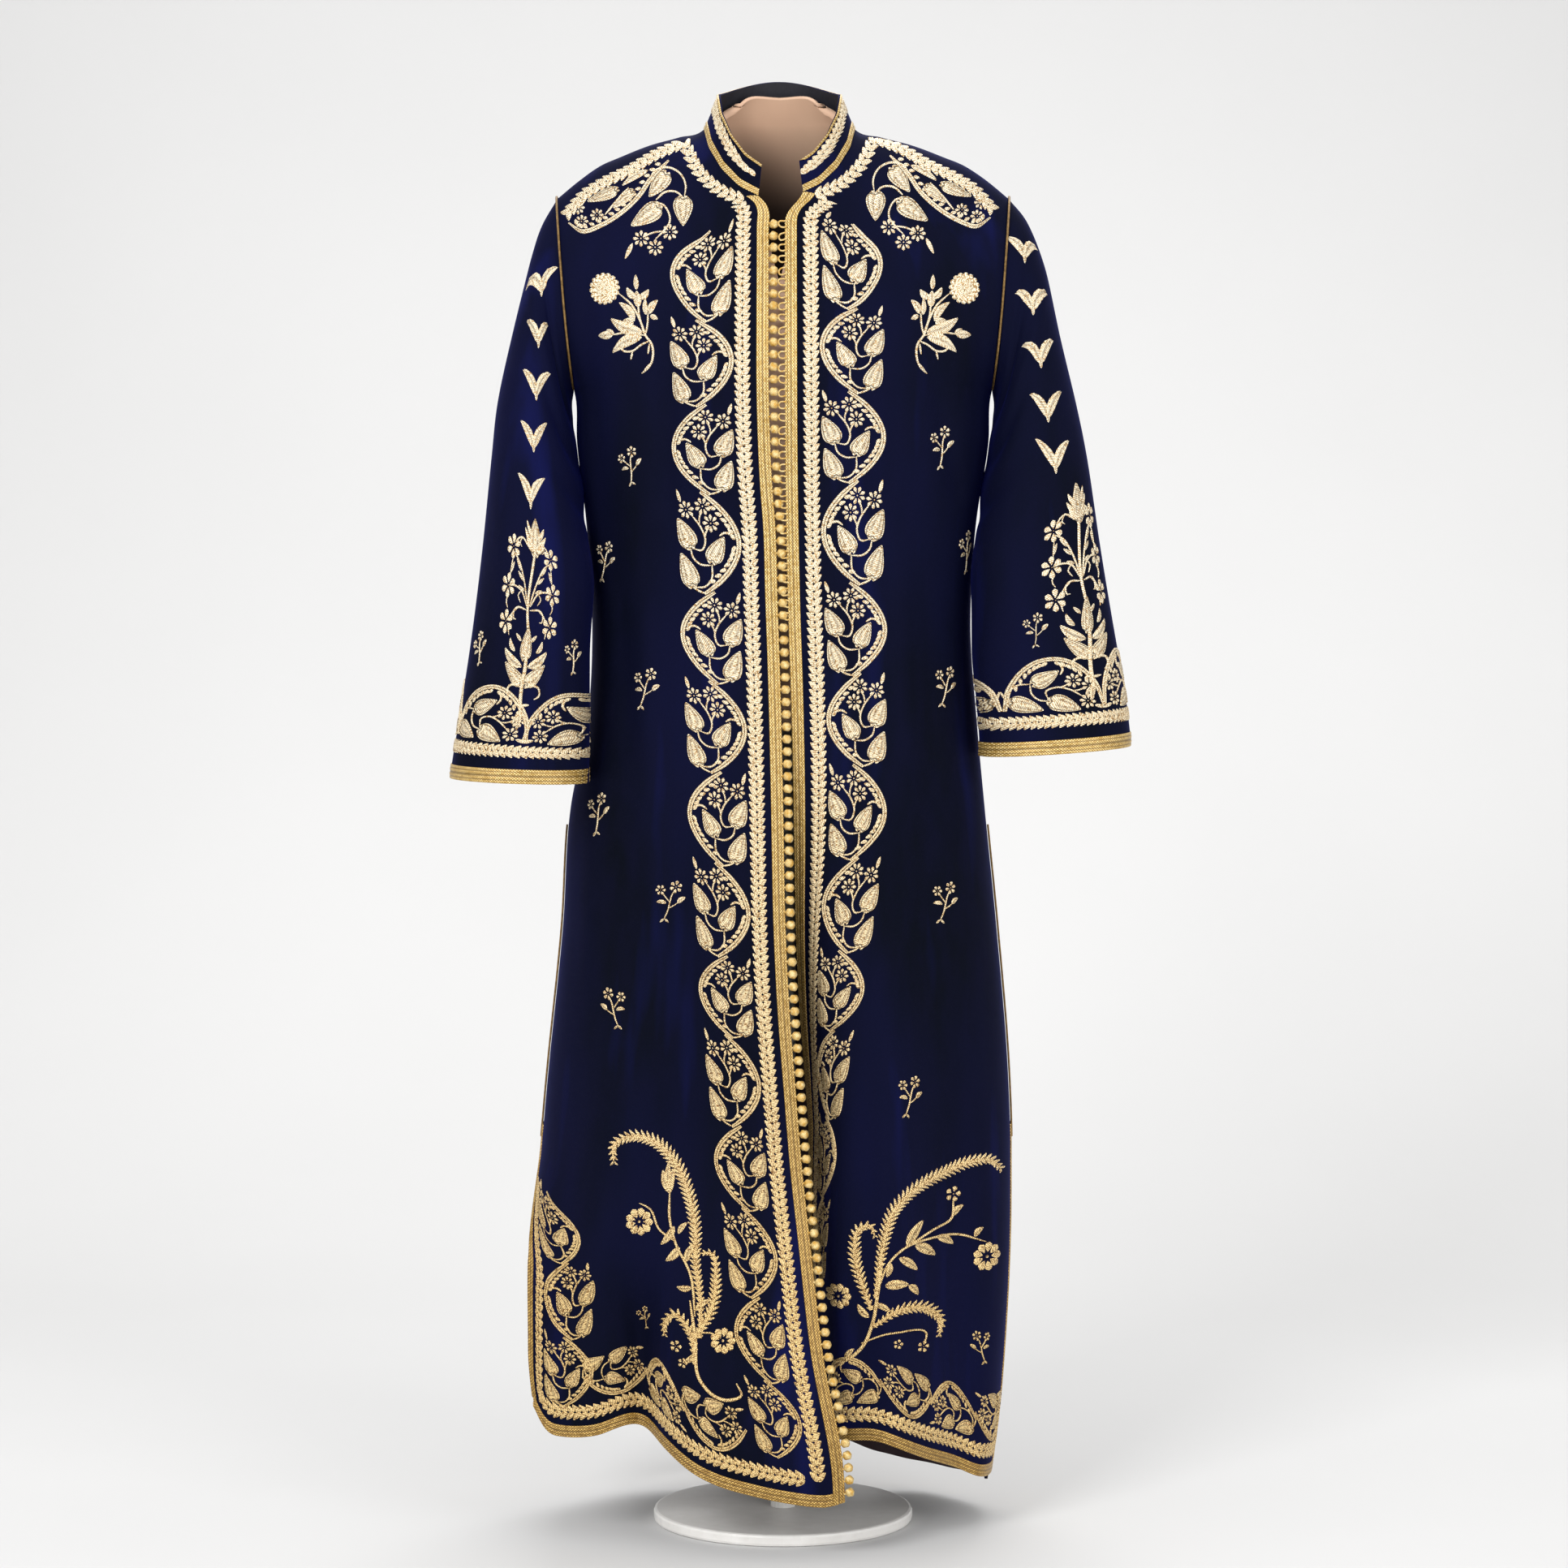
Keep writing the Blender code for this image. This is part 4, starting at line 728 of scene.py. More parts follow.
class Sheet:
    """Cloth as rows of points with normals. A wrapped sheet is a tube."""

    def __init__(self, points, vectors, wrap=False):
        self.points = points
        self.vectors = vectors
        self.wrap = wrap
        self.rows, self.columns = points.shape[:2]
        ends = np.concatenate((points, points[:, :1]), axis=1) if wrap else points
        self.widths = np.linalg.norm(np.diff(ends, axis=1), axis=2).sum(axis=1)
        self.rises, self.far_rises = distances(points[:, 0]), distances(points[:, -1])

    def read(self, i, j, lift=0.0):
        """Points at table places, from the four corners round each, lifted along the normal."""
        i = np.clip(i, 0, self.rows - 1.0001)
        i0 = np.floor(i).astype(int)
        if self.wrap:
            j = np.mod(j, self.columns)
            j0 = np.floor(j).astype(int) % self.columns
            j1 = (j0 + 1) % self.columns
        else:
            j = np.clip(j, 0, self.columns - 1.0001)
            j0 = np.floor(j).astype(int)
            j1 = j0 + 1
        p = (i - i0)[..., None]
        q = (j - np.floor(j))[..., None]
        parts = ((i0, j0, (1 - p) * (1 - q)), (i0, j1, (1 - p) * q),
                 (i0 + 1, j0, p * (1 - q)), (i0 + 1, j1, p * q))
        point = sum(self.points[a, b] * w for a, b, w in parts)
        vector = unit(sum(self.vectors[a, b] * w for a, b, w in parts))
        return point + vector * np.asarray(lift)[..., None]

    def slopes(self, i, j):
        """How a point moves for each row up and for each column onward."""
        up = self.read(i + 0.5, j) - self.read(i - 0.5, j)
        return up, self.read(i, j + 0.5) - self.read(i, j - 0.5)

    def normal(self, i, j):
        """Unit normal at table places."""
        return self.read(i, j, np.ones(np.shape(i))) - self.read(i, j)

    def width(self, i):
        """Length of a row."""
        return np.interp(i, np.arange(self.rows), self.widths)

    def edge(self, xy):
        """Table places of (distance from the first column, distance up it)."""
        i = np.interp(xy[..., 1], self.rises, np.arange(self.rows))
        steps = self.columns if self.wrap else self.columns - 1
        return i, xy[..., 0] / self.width(i) * steps

    def side(self, xy):
        """As edge, but with both distances taken from the last column."""
        i = np.interp(xy[..., 1], self.far_rises, np.arange(self.rows))
        return i, (1 - xy[..., 0] / self.width(i)) * (self.columns - 1)

    def seen(self, xz, facing=-1):
        """Table places that lie at (x, z) of a drawing seen from the front or behind, by Newton's steps."""
        middle = xz.reshape(-1, 2).mean(axis=0)
        gap = (self.points[..., 0] - middle[0]) ** 2 + (self.points[..., 2] - middle[1]) ** 2
        gap = gap + np.where(self.vectors[..., 1] * facing > 0.05, 0.0, 1.0)
        start = np.unravel_index(np.argmin(gap), gap.shape)
        i = np.full(xz.shape[:-1], float(start[0]))
        j = np.full(xz.shape[:-1], float(start[1]))
        for _ in range(NEWTON_STEPS):
            off = xz - self.read(i, j)[..., (0, 2)]
            up, over = (slope[..., (0, 2)] for slope in self.slopes(i, j))
            area = turn_of(up, over)
            area = np.where(np.abs(area) < 1e-8, 1e-8, area)
            step_i = turn_of(off, over) / area
            step_j = turn_of(up, off) / area
            i = np.clip(i + np.clip(step_i, -NEWTON_REACH, NEWTON_REACH), 1, self.rows - 2)
            j = j + np.clip(step_j, -NEWTON_REACH, NEWTON_REACH)
            if not self.wrap:
                j = np.clip(j, 1, self.columns - 2)
        return i, j

    def spot(self, x, z, turn=0.0, facing=-1):
        """A flat drawing round one place that is seen at (x, z), turned by an angle in degrees."""
        i, j = self.seen(np.array([[x, z]]), facing)
        i, j = i[0], j[0]
        normal = self.normal(i, j)
        right = unit(np.array([1.0, 0, 0]) - normal * normal[0])
        rise = np.cross(normal, right)
        rise *= np.sign(rise[2])
        solve = np.linalg.pinv(np.stack(self.slopes(i, j), axis=1))
        c, s = np.cos(np.radians(turn)), np.sin(np.radians(turn))

        def where(xy):
            u = xy[..., 0] * c - xy[..., 1] * s
            v = xy[..., 0] * s + xy[..., 1] * c
            steps = (u[..., None] * right + v[..., None] * rise) @ solve.T
            return i + steps[..., 0], j + steps[..., 1]
        return where


def body_sheet(panel, columns):
    """A front or the back, with the normals of its seams kept in the seams' planes."""
    rows = [(row, False) for row in np.linspace(0, 1, LOW_ROWS)[:-1]]
    rows += [(row, True) for row in np.linspace(0, 1, TOP_COUNT)]
    lines = [back_line(*row) if panel == "back" else front_line(panel, *row) for row in rows]
    shares = np.linspace(0, 1, columns)
    grid = np.array([along(line, length(line) * shares) for line in lines])
    half = SEAM / 2 if panel == "back" else -SEAM / 2
    grid[:, -1, 1] += half
    grid[-1, :, 1] += half
    if panel == "back":
        grid[:, 0, 1] += half
    vectors = normals(grid, grid * np.array([0.4, 1.0, 0.0]))
    vectors[:LOW_ROWS, -1] = flatten(vectors[:LOW_ROWS, -1], 1)
    if panel == "back":
        vectors[:LOW_ROWS, 0] = flatten(vectors[:LOW_ROWS, 0], 1)
    vectors[-1] = flatten(vectors[-1], 1)
    return Sheet(grid, vectors)


def armhole_ring(sheets, side):
    """Points of the armhole round from the shoulder, down the front, and up the back."""
    front = sheets["right" if side < 0 else "left"].points[-TOP_COUNT:, -1]
    back = sheets["back"].points[-TOP_COUNT:, 0 if side < 0 else -1]
    ring = np.concatenate((front[::-1], back[1:-1]))
    ring[0, 1] = RIDGE_BACK
    ring[TOP_COUNT - 1, 1] = 0
    return ring


def sleeve_sheet(sheets, side):
    """A set-in sleeve: the armhole's ring passes into superellipses down to the cuff, which is row 0."""
    table = SLEEVE_RIGHT if side < 0 else SLEEVE_LEFT
    ring = armhole_ring(sheets, side)
    ring[:, 0] += side * (SEAM + 0.0002)
    mid_z = (table[0, 1] + table[0, 3]) / 2
    half = (table[0, 1] - table[0, 3]) / 2
    angles = np.arctan2(-(ring[:, 1] - ring[:, 1].mean()) / table[0, 5], (ring[:, 2] - mid_z) / half)
    steps = np.linspace(0, len(table) - 1, SLEEVE_ROWS)
    numbered = np.column_stack((np.arange(len(table)), table))
    fine = np.stack([smooth(numbered, k + 1, steps) for k in range(6)], axis=1)
    grid = np.array([sleeve_ring(row, angles, side) for row in fine])
    keep = np.interp(steps, (0, 1, 2, 3), (1.0, 0.50, 0.18, 0.0))
    grid += (ring - grid[0]) * keep[:, None, None]
    vectors = normals(grid, grid - grid.mean(axis=1, keepdims=True), wrap=True)
    share = np.linspace(0, 1, SLEEVE_ROWS)[:, None]
    turn = np.mod(angles, 2 * np.pi)[None, :]
    rise = 0
    for down, angle, tall, wide, lift in SLEEVE_CREASES:
        off = turn - angle
        rise = rise + lift * np.exp(-((share - down - 0.03 * off) / tall) ** 2 - (off / wide) ** 2)
    grid += vectors * (rise * ease((share - 0.04) / 0.08) * ease((0.93 - share) / 0.1))[..., None]
    vectors = normals(grid, grid - grid.mean(axis=1, keepdims=True), wrap=True)
    return Sheet(grid[::-1], vectors[::-1], wrap=True)


SHEETS = {"right": body_sheet("right", FRONT_COLUMNS), "left": body_sheet("left", FRONT_COLUMNS),
          "back": body_sheet("back", BACK_COLUMNS)}
SHEETS["sleeve_right"] = sleeve_sheet(SHEETS, -1)
SHEETS["sleeve_left"] = sleeve_sheet(SHEETS, 1)
print({name: sheet.points.shape[:2] for name, sheet in SHEETS.items()})

# %% [markdown]
# ## Cutting the cloth
#
# The caftan's velvet is about a millimetre thick and lined, so each sheet is a closed wall of 2 mm. The
# outside is velvet and the inside is maroon lining, which shows under the left front's hem.


# %% Meshes from grids
def skin(rows, columns, wrap=False):
    """Corner numbers of a grid's quads."""
    i = np.arange(rows - 1)[:, None] * columns
    j = np.arange(columns if wrap else columns - 1)[None, :]
    k = (j + 1) % columns
    return np.stack((i + j, i + k, i + columns + k, i + columns + j), axis=-1).reshape(-1, 4)


def wall(rows, columns, wrap=False):
    """Quads of a closed wall between two grids: the outer skin, the inner skin, and the rim."""
    count = rows * columns
    outer = skin(rows, columns, wrap)
    j = np.arange(columns if wrap else columns - 1)
    k = (j + 1) % columns
    last = count - columns
    rims = [np.stack((k, j, count + j, count + k), axis=1),
            np.stack((last + j, last + k, count + last + k, count + last + j), axis=1)]
    if not wrap:
        a = np.arange(rows - 1) * columns
        b = a + columns
        rims.append(np.stack((a, b, count + b, count + a), axis=1))
        a, b = a + columns - 1, b + columns - 1
        rims.append(np.stack((b, a, count + a, count + b), axis=1))
    return outer, outer[:, ::-1] + count, np.concatenate(rims)


def outward(faces, across, onward, up):
    """Faces turned over where across and onward along their grid don't go round the way up."""
    return faces[:, ::-1] if np.dot(np.cross(across, onward), up) < 0 else faces


def make_mesh(name, points, faces, materials, slots=None, uv=None, gap=None, sharp=None):
    """A mesh of quads with its materials, millimetre UVs and painted shade for its points, such as the
    gaps between cords and the form's inner wall.
    """
    mesh = bpy.data.meshes.new(name)
    mesh.vertices.add(len(points))
    mesh.vertices.foreach_set("co", np.asarray(points, dtype=np.float32).ravel())
    mesh.loops.add(faces.size)
    mesh.loops.foreach_set("vertex_index", faces.ravel().astype(np.int32))
    mesh.polygons.add(len(faces))
    mesh.polygons.foreach_set("loop_start", np.arange(0, faces.size, 4, dtype=np.int32))
    for one in materials:
        mesh.materials.append(one)
    if slots is not None:
        mesh.polygons.foreach_set("material_index", slots.astype(np.int32))
    mesh.update(calc_edges=True)
    if uv is not None:
        layer = mesh.uv_layers.new(name="stitch")
        layer.data.foreach_set("uv", uv[faces.ravel()].astype(np.float32).ravel())
    if gap is not None:
        mesh.attributes.new("gap", "FLOAT", "POINT").data.foreach_set("value", gap.astype(np.float32))
    mesh.validate()
    mesh.shade_smooth()
    if sharp:
        mesh.set_sharp_from_angle(angle=np.radians(sharp))
    obj = bpy.data.objects.new(name, mesh)
    scene.collection.objects.link(obj)
    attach(obj, "root")
    return obj


def cloth(name, sheet, materials, stands_for):
    """A closed wall of cloth from a sheet. The first material is outside, the second inside and the rim."""
    rows, columns = sheet.rows, sheet.columns
    points = np.concatenate((sheet.points.reshape(-1, 3),
                             (sheet.points - sheet.vectors * CLOTH).reshape(-1, 3)))
    outer, inner, rim = wall(rows, columns, sheet.wrap)
    faces = outward(np.concatenate((outer, inner, rim)), sheet.points[0, 1] - sheet.points[0, 0],
                    sheet.points[1, 0] - sheet.points[0, 0], sheet.vectors[0, 0])
    slots = np.concatenate((np.zeros(len(outer)), np.ones(len(inner)), np.zeros(len(rim))))
    obj = make_mesh(name, points, faces, materials, slots, sharp=60)
    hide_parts(stands_for)
    return obj


for key, name in (("right", "front_right"), ("left", "front_left"), ("back", "back"),
                  ("sleeve_right", "sleeve_right"), ("sleeve_left", "sleeve_left")):
    cloth("velvet_" + name, SHEETS[key], (VELVET, MAROON), name)

# %% [markdown]
# ## How the embroidery is made
#
# The embroiderer lays a card or a cotton cord on the velvet, and sews metal thread over it. So every leaf
# is a low, rounded pad that rises about a millimetre, and every stem is a half-round cord. A pad here is a
# small grid: rows run along the leaf and columns across it. Each of its points has a place in the flat
# drawing in millimetres, a height over the cloth, a place along and across the thread, and how much painted
# shade it takes in a gap between two cords or at a pad's rim.


# %% Pads and cords
# millimetres between two points of a cord, two pairs of a chain and two pairs of a plume
CORD_STEP = 3.0
CHAIN_PITCH = 7.4
PLUME_PITCH = 4.9


def pad(xy, height, along_mm, across_mm, gap):
    """A grid of points: x, y, height, millimetres along and across, painted shade of a gap."""
    shape = xy.shape[:2]
    rest = [np.broadcast_to(v, shape)[..., None] for v in (height, along_mm, across_mm, gap)]
    return np.concatenate([xy] + rest, axis=-1)


def laid(base, tip, down, across):
    """Flat places beside a line from base to tip, down it in shares and across it in millimetres, and the
    line's length."""
    way = np.subtract(tip, base)
    size = np.hypot(*way)
    side = np.array([-way[1], way[0]]) / size
    return base + down[..., None] * way + across[..., None] * side, size


def leaf(base, tip, width, bend=0.0, rise=1.2, slit=0.45, fat=0.8, rows=7):
    """An almond leaf from its base to its tip. Half its width is w/2 * sin(pi t^fat)^0.8, its height goes
    as 1 - v^2 across, with a slit down the middle, and its midline bends by 4 b t (1 - t). Its slit and
    its edges are painted in shade."""
    t = np.linspace(0.0, 1.0, rows)[:, None]
    v = np.array([-1.0, -0.55, 0.0, 0.55, 1.0])[None, :]
    swell = np.sin(np.pi * np.clip(t, 0.001, 0.999) ** fat)
    xy, size = laid(base, tip, t, v * width / 2 * swell**0.8 + 4 * bend * t * (1 - t))
    dome = (1 - v**2) * swell**0.5 * np.where(np.abs(v) < 0.1, 1 - slit, 1.25)
    # painted shade in the slit and along the edges
    dark = np.where(np.abs(v) < 0.1, slit * 1.6, 0.6 * (np.abs(v) > 0.9))
    return pad(xy, -0.4 + (rise + 0.4) * dome, t * size, v * width / 2 * swell, dark)


def petal(base, tip, width):
    """A petal: narrow at its base and round at its tip, half width w/2 * sin(pi t^1.7)^0.8."""
    return leaf(base, tip, width, slit=0.25, fat=1.7, rows=6)


def pear(base, tip, width, bend=0.0):
    """A heart-shaped leaf: an outline cord, a groove inside it painted in shade, and a hatched field. Its
    half width is w/2 * sin(pi t^0.52)^0.75, two lobes hang below its base, and its tip is bent aside by b
    t^2."""
    t = np.array([0, 0.035, 0.077, 0.115, 0.2, 0.3, 0.42, 0.55, 0.68, 0.8, 0.9, 0.935, 0.97, 1.0])[:, None]
    v = np.array([-1.0, -0.9, -0.78, -0.66, -0.35, 0.0, 0.35, 0.66, 0.78, 0.9, 1.0])[None, :]
    swell = np.sin(np.pi * np.clip(t, 0.012, 0.997) ** 0.52)
    down = t - 0.11 * (1 - t) ** 6 * np.sin(np.pi * np.abs(v))
    xy, size = laid(base, tip, down, v * width / 2 * swell**0.75 + bend * t**2)
    rim = np.maximum(np.abs(v), np.maximum(1 - t / 0.35, 1 - (1 - t) / 0.3))
    high = np.interp(rim, (0, 0.2, 0.35, 0.5, 0.68, 0.78, 0.9, 1),
                     (0.9, 0.85, 0.45, 0.8, 0.6, 0.05, 1, -0.35))
    # painted shade in the groove inside the outline cord and at the rim
    dark = np.interp(rim, (0, 0.2, 0.35, 0.5, 0.68, 0.78, 0.88, 0.95, 1),
                     (0.1, 0.2, 0.7, 0.2, 0.2, 1, 0, 0, 0.7))
    return pad(xy, high * 1.4, t * size, v * width / 2 * swell, dark)


def rounded(points, step):
    """Even steps along a smooth curve through points, each piece a cubic whose ends share slopes."""
    points = np.asarray(points, float)
    run = distances(points)
    if len(points) > 2:
        slopes = np.gradient(points, run, axis=0)
    else:
        slopes = np.tile((points[1] - points[0]) / run[-1], (2, 1))
    at = np.linspace(0, run[-1], max(3, int(run[-1] / step) + 1))
    k = np.clip(np.searchsorted(run, at) - 1, 0, len(run) - 2)
    wide = (run[k + 1] - run[k])[:, None]
    return cubic(points, slopes, k, wide, (at - run[k])[:, None] / wide)


def frame_of(path):
    """Unit vectors along and beside a flat path."""
    way = unit(np.gradient(path, axis=0))
    return way, np.stack((-way[:, 1], way[:, 0]), axis=1)


def cord(points, width=1.7, rise=1.1, double=False, taper=(0.4, 0.4)):
    """A half-round cord along a smooth curve; a double one has a groove painted in shade between its cords.
    """
    path = rounded(points, CORD_STEP)
    _, side = frame_of(path)
    run = distances(path)
    share = run / run[-1]
    thin = np.clip(np.interp(share, (0, 0.15, 0.85, 1), (taper[0], 1, 1, taper[1])), 0.1, 1)[:, None]
    if double:
        v = np.array([-1.0, -0.8, -0.45, -0.12, 0.0, 0.12, 0.45, 0.8, 1.0])[None, :]
        high = np.array([-0.35, 0.7, 1.0, 0.35, 0.05, 0.35, 1.0, 0.7, -0.35])[None, :]
        # painted shade in the groove between the two cords
        gap = np.array([0, 0, 0, 0.5, 1.0, 0.5, 0, 0, 0])[None, :]
    else:
        v = np.array([-1.0, -0.6, 0.0, 0.6, 1.0])[None, :]
        high = np.array([-0.35, 0.75, 1.0, 0.75, -0.35])[None, :]
        gap = np.zeros((1, 5))
    across = v * thin * width / 2
    xy = path[:, None, :] + across[..., None] * side[:, None, :]
    return pad(xy, high * rise * (0.5 + 0.5 * thin), run[:, None], across, gap)


def disc(centre, radius, rise, gap=0.0):
    """A low round knob of thread, as rings round its middle; gap is the painted shade on its rim."""
    r = np.array([0.0, 0.45, 0.8, 1.0])[:, None]
    angle = np.linspace(0, 2 * np.pi, 11)[None, :]
    xy = np.asarray(centre) + radius * np.stack((r * np.cos(angle), r * np.sin(angle)), axis=-1)
    high = rise * np.array([1.0, 0.85, 0.5, -0.25])[:, None]
    return pad(xy, high * np.ones_like(angle), radius * r, radius * r * angle / 2, gap * (r > 0.7))


def daisy(centre, radius, petals=8, turn=0.0, heart=0.2, full=0.58):
    """Petals round a dark middle, where the velvet shows, with a small raised dot whose rim is painted in
    shade.
    """
    angles = turn + np.arange(petals) * 2 * np.pi / petals
    wide = 2.0 * np.pi * radius * full / petals
    made = []
    for angle in angles:
        way = np.array([np.cos(angle), np.sin(angle)])
        made.append(petal(np.add(centre, way * radius * heart), np.add(centre, way * radius), wide))
    return made + [disc(centre, radius * heart * 0.6, 0.9, 1.0)]


def chain(points, pitch=CHAIN_PITCH, width=17.5, narrow=(1.0, 1.0)):
    """Pairs of almond leaves in V's that open forward along a path."""
    path = rounded(points, pitch)
    share = np.linspace(0, 1, len(path))
    wide = width * np.interp(share, (0, 0.12, 0.88, 1), (narrow[0], 1, 1, narrow[1])) / 2
    made = []
    for p, f, s, w in zip(path, *frame_of(path), wide):
        for hand in (-1, 1):
            tip = p + f * pitch * 1.05 + hand * s * (w - 0.3)
            made.append(leaf(p - f * 1.9 + hand * s * 0.5, tip, 6.6, -hand * 1.2, 1.5, 0.3, 0.75))
    return made


def plume(points, reach):
    """A slim curled feather: a double midrib with close leaflets, whose length follows reach along it."""
    path = rounded(points, PLUME_PITCH)
    long = np.interp(np.linspace(0, 1, len(path)), np.linspace(0, 1, len(reach)), reach)
    made = [cord(points, 2.4, 1.3, taper=(1.0, 0.4))]
    for p, f, s, r in zip(path, *frame_of(path), long):
        for hand in (-1, 1):
            tip = p + f * r + hand * s * r
            made.append(leaf(p + hand * s * 0.6, tip, min(3.2, r * 0.6), bend=-hand * r * 0.12, slit=0.2))
    return made + [cord(points, 3.6, 1.7, double=True, taper=(1.0, 0.4))]


def cords(table, rise=1.1):
    """A cord for each row: its width, then its points."""
    return [cord(points, width, rise) for width, *points in table]


def leaves(table, **looks):
    """A leaf for each row: its base, its tip, its width and what else differs."""
    return [leaf(*row, **looks) for row in table]


def pears(table):
    """A heart-shaped leaf for each row: its base, its tip, its width and its bend."""
    return [pear(*row) for row in table]


def daisies(table):
    """A daisy for each row: its middle, its radius and what else differs."""
    return [one for row in table for one in daisy(*row)]


def moved(pads, to=(0.0, 0.0), turn=0.0, size=(1.0, 1.0)):
    """Pads scaled, then turned by degrees, then moved; a negative scale mirrors them."""
    c, s = np.cos(np.radians(turn)), np.sin(np.radians(turn))
    made = []
    for one in pads:
        xy = one[..., :2] * np.asarray(size)
        turned = np.stack((xy[..., 0] * c - xy[..., 1] * s, xy[..., 0] * s + xy[..., 1] * c), axis=-1)
        made.append(np.concatenate((turned + np.asarray(to), one[..., 2:]), axis=-1))
    return made


class Sewing:
    """What is sewn on one sheet: pads gathered into one mesh of open, low domes sunk into the cloth."""

    def __init__(self, sheet):
        self.sheet = sheet
        self.points, self.faces, self.uv, self.gap = [], [], [], []
        self.count = 0

    def add(self, pads, where):
        """Sew pads where a function of their flat places in metres says."""
        for shape in sorted({one.shape for one in pads}):
            batch = np.stack([one for one in pads if one.shape == shape])
            i, j = where(batch[..., :2] * 0.001)
            points = self.sheet.read(i, j, batch[..., 2] * 0.001)
            number, rows, columns = points.shape[:3]
            quads = skin(rows, columns)
            faces = np.arange(number)[:, None, None] * rows * columns + quads[None]
            r, c = rows // 2, columns // 2
            across = points[:, r, c] - points[:, r, c - 1]
            down = points[:, r, c] - points[:, r - 1, c]
            up = self.sheet.normal(i[:, r, c], j[:, r, c])
            wrong = (np.cross(across, down) * up).sum(axis=1) < 0
            faces = np.where(wrong[:, None, None], faces[:, :, ::-1], faces)
            self.faces.append(faces.reshape(-1, 4) + self.count)
            self.points.append(points.reshape(-1, 3))
            self.uv.append(batch[..., 3:5].reshape(-1, 2))
            self.gap.append(batch[..., 5].ravel())
            self.count += number * rows * columns

    def finish(self, name):
        """Make the mesh, as gold thread."""
        obj = make_mesh(name, np.concatenate(self.points), np.concatenate(self.faces), (THREAD,),
                        uv=np.concatenate(self.uv), gap=np.concatenate(self.gap))
        return obj


SEWN = {name: Sewing(sheet) for name, sheet in SHEETS.items()}
print("a leaf has", leaf((0, 0), (0, 11), 5).shape[:2], "points")

# %% [markdown]
# ## The scroll bands
#
# The main pattern is a serpentine. A double cord swings from side to side, and each swing holds the same
# plant: three daisies above, three heart-shaped leaves below, one of them hooked onto the cord, and a row
# of small leaves on the inside of the curve. The next swing is its mirror image. A chain of paired leaves
# runs between the scroll and the braid. The swings get narrower towards the hem, as a tailor draws them.


# %% Scroll unit
# millimetres: the box of one scroll unit, and how far chain and scroll lie from the cloth's edge
UNIT_WIDE = 62.0
UNIT_TALL = 90.0
CHAIN_OFF = 25.5
BAND_OFF = 35.0


def swing(t, foot, power):
    """The curve of one swing in millimetres: x = foot + (30 - foot) sin(pi t)^power, y = -90 t."""
    across = foot + (30 - foot) * np.sin(np.pi * np.clip(t, 0, 1)) ** power
    return np.stack((across, -UNIT_TALL * t), axis=-1)


def scroll_unit(foot=-5.0, power=0.8):
    """One swing that bulges to +x, in a box of 62 by 90 mm below the origin."""
    share = np.linspace(0, 1, 17)
    line = swing(share - 0.012 * np.cos(np.pi * share) * (foot > -9), foot, power)
    made = [cord(line, 5.2, 1.4, double=True, taper=(0.6, 0.6))]
    places = np.linspace(0.13, 0.90, 13)
    curve = swing(places, foot, power)
    for t, p, f, n in zip(places, curve, *frame_of(curve)):
        ahead = -f if t < 0.46 else f
        made.append(leaf(p - n * 3.4, p - n * 7.4 + ahead * 7.0, 4.4, slit=0.25))
    made += daisies((((-21, -16), 8.5, 8, 0.2), ((-4, -12), 8.5, 8, 0.4), ((3, -27), 8.5)))
    made += [leaf((-26, -10), (-30, 3), 4.6, slit=0.3), cord([(11, -38), (16, -35), (25, -37)], 2.6, 1.3)]
    made += pears((((-18, -50), (-27, -23), 19.5, 3.0), ((-17, -85), (-25, -55), 19.5, 3.0),
                   ((3, -62), (12, -37), 18.5, -4.0)))
    return made + cords((
        (2.2, (-4, -91), (-11, -89), (-17, -86)), (2.2, (-14, -86), (-5, -85), (2, -78), (3, -64)),
        (2.2, (-18, -51), (-16, -59), (-8, -65), (2, -65)),
        (2.2, (-15, -51), (-7, -52), (-3, -43), (-6, -33), (-16, -20)),
        (2.0, (-3, -40), (-2, -35), (2, -30)), (2.0, (-8, -28), (-8, -22), (-5, -17))))


UNIT = scroll_unit()
ARCH = scroll_unit(-27.0, 0.5)


def scroll_band(sewing, place, marks, widths):
    """Units between marks down a band, each the mirror image of the one before. Their inner side stays at
    one distance from the edge."""
    for k, (top, bottom) in enumerate(zip(marks[:-1], marks[1:])):
        wide = np.interp(k, np.linspace(0, len(marks) - 2, len(widths)), widths)
        size = ((-1) ** k * wide / UNIT_WIDE, (top - bottom) / UNIT_TALL)
        sewing.add(moved(UNIT, (BAND_OFF + wide / 2, top), size=size), place)


def up_edge(sheet, z, column=0):
    """Metres up a sheet's edge to where it has a height."""
    rises = sheet.far_rises if column else sheet.rises
    return np.interp(z, sheet.points[:CORNER + 1, column, 2], rises[:CORNER + 1])


HEIGHTS = np.array([1.296, 1.200, 1.114, 1.028, 0.930, 0.842, 0.754, 0.664, 0.574, 0.496, 0.408, 0.328,
                    0.245, 0.168, 0.102])
for key, number, higher in (("right", 15, 0.0), ("left", 13, 0.013)):
    sheet, sewing = SHEETS[key], SEWN[key]
    marks = up_edge(sheet, HEIGHTS[:number] + higher) * 1000
    scroll_band(sewing, sheet.edge, marks, (62, 62, 60, 55, 51, 49))
    sewing.add(chain([(CHAIN_OFF, 26.0), (CHAIN_OFF, marks[0] + 12)]), sheet.edge)
    print(key, "front:", number - 1, "scroll units down", round(marks[0] - marks[-1]), "mm")

# %% Bands along the hems and slits
HEM_ROW = 4
HEM_BAND_WIDE = 46.0
HEM_BAND_START = 92.0
SLIT_BAND_TOP = 0.372
SLIT_BAND_END = 42.0
SLIT_BAND_STEP = 76


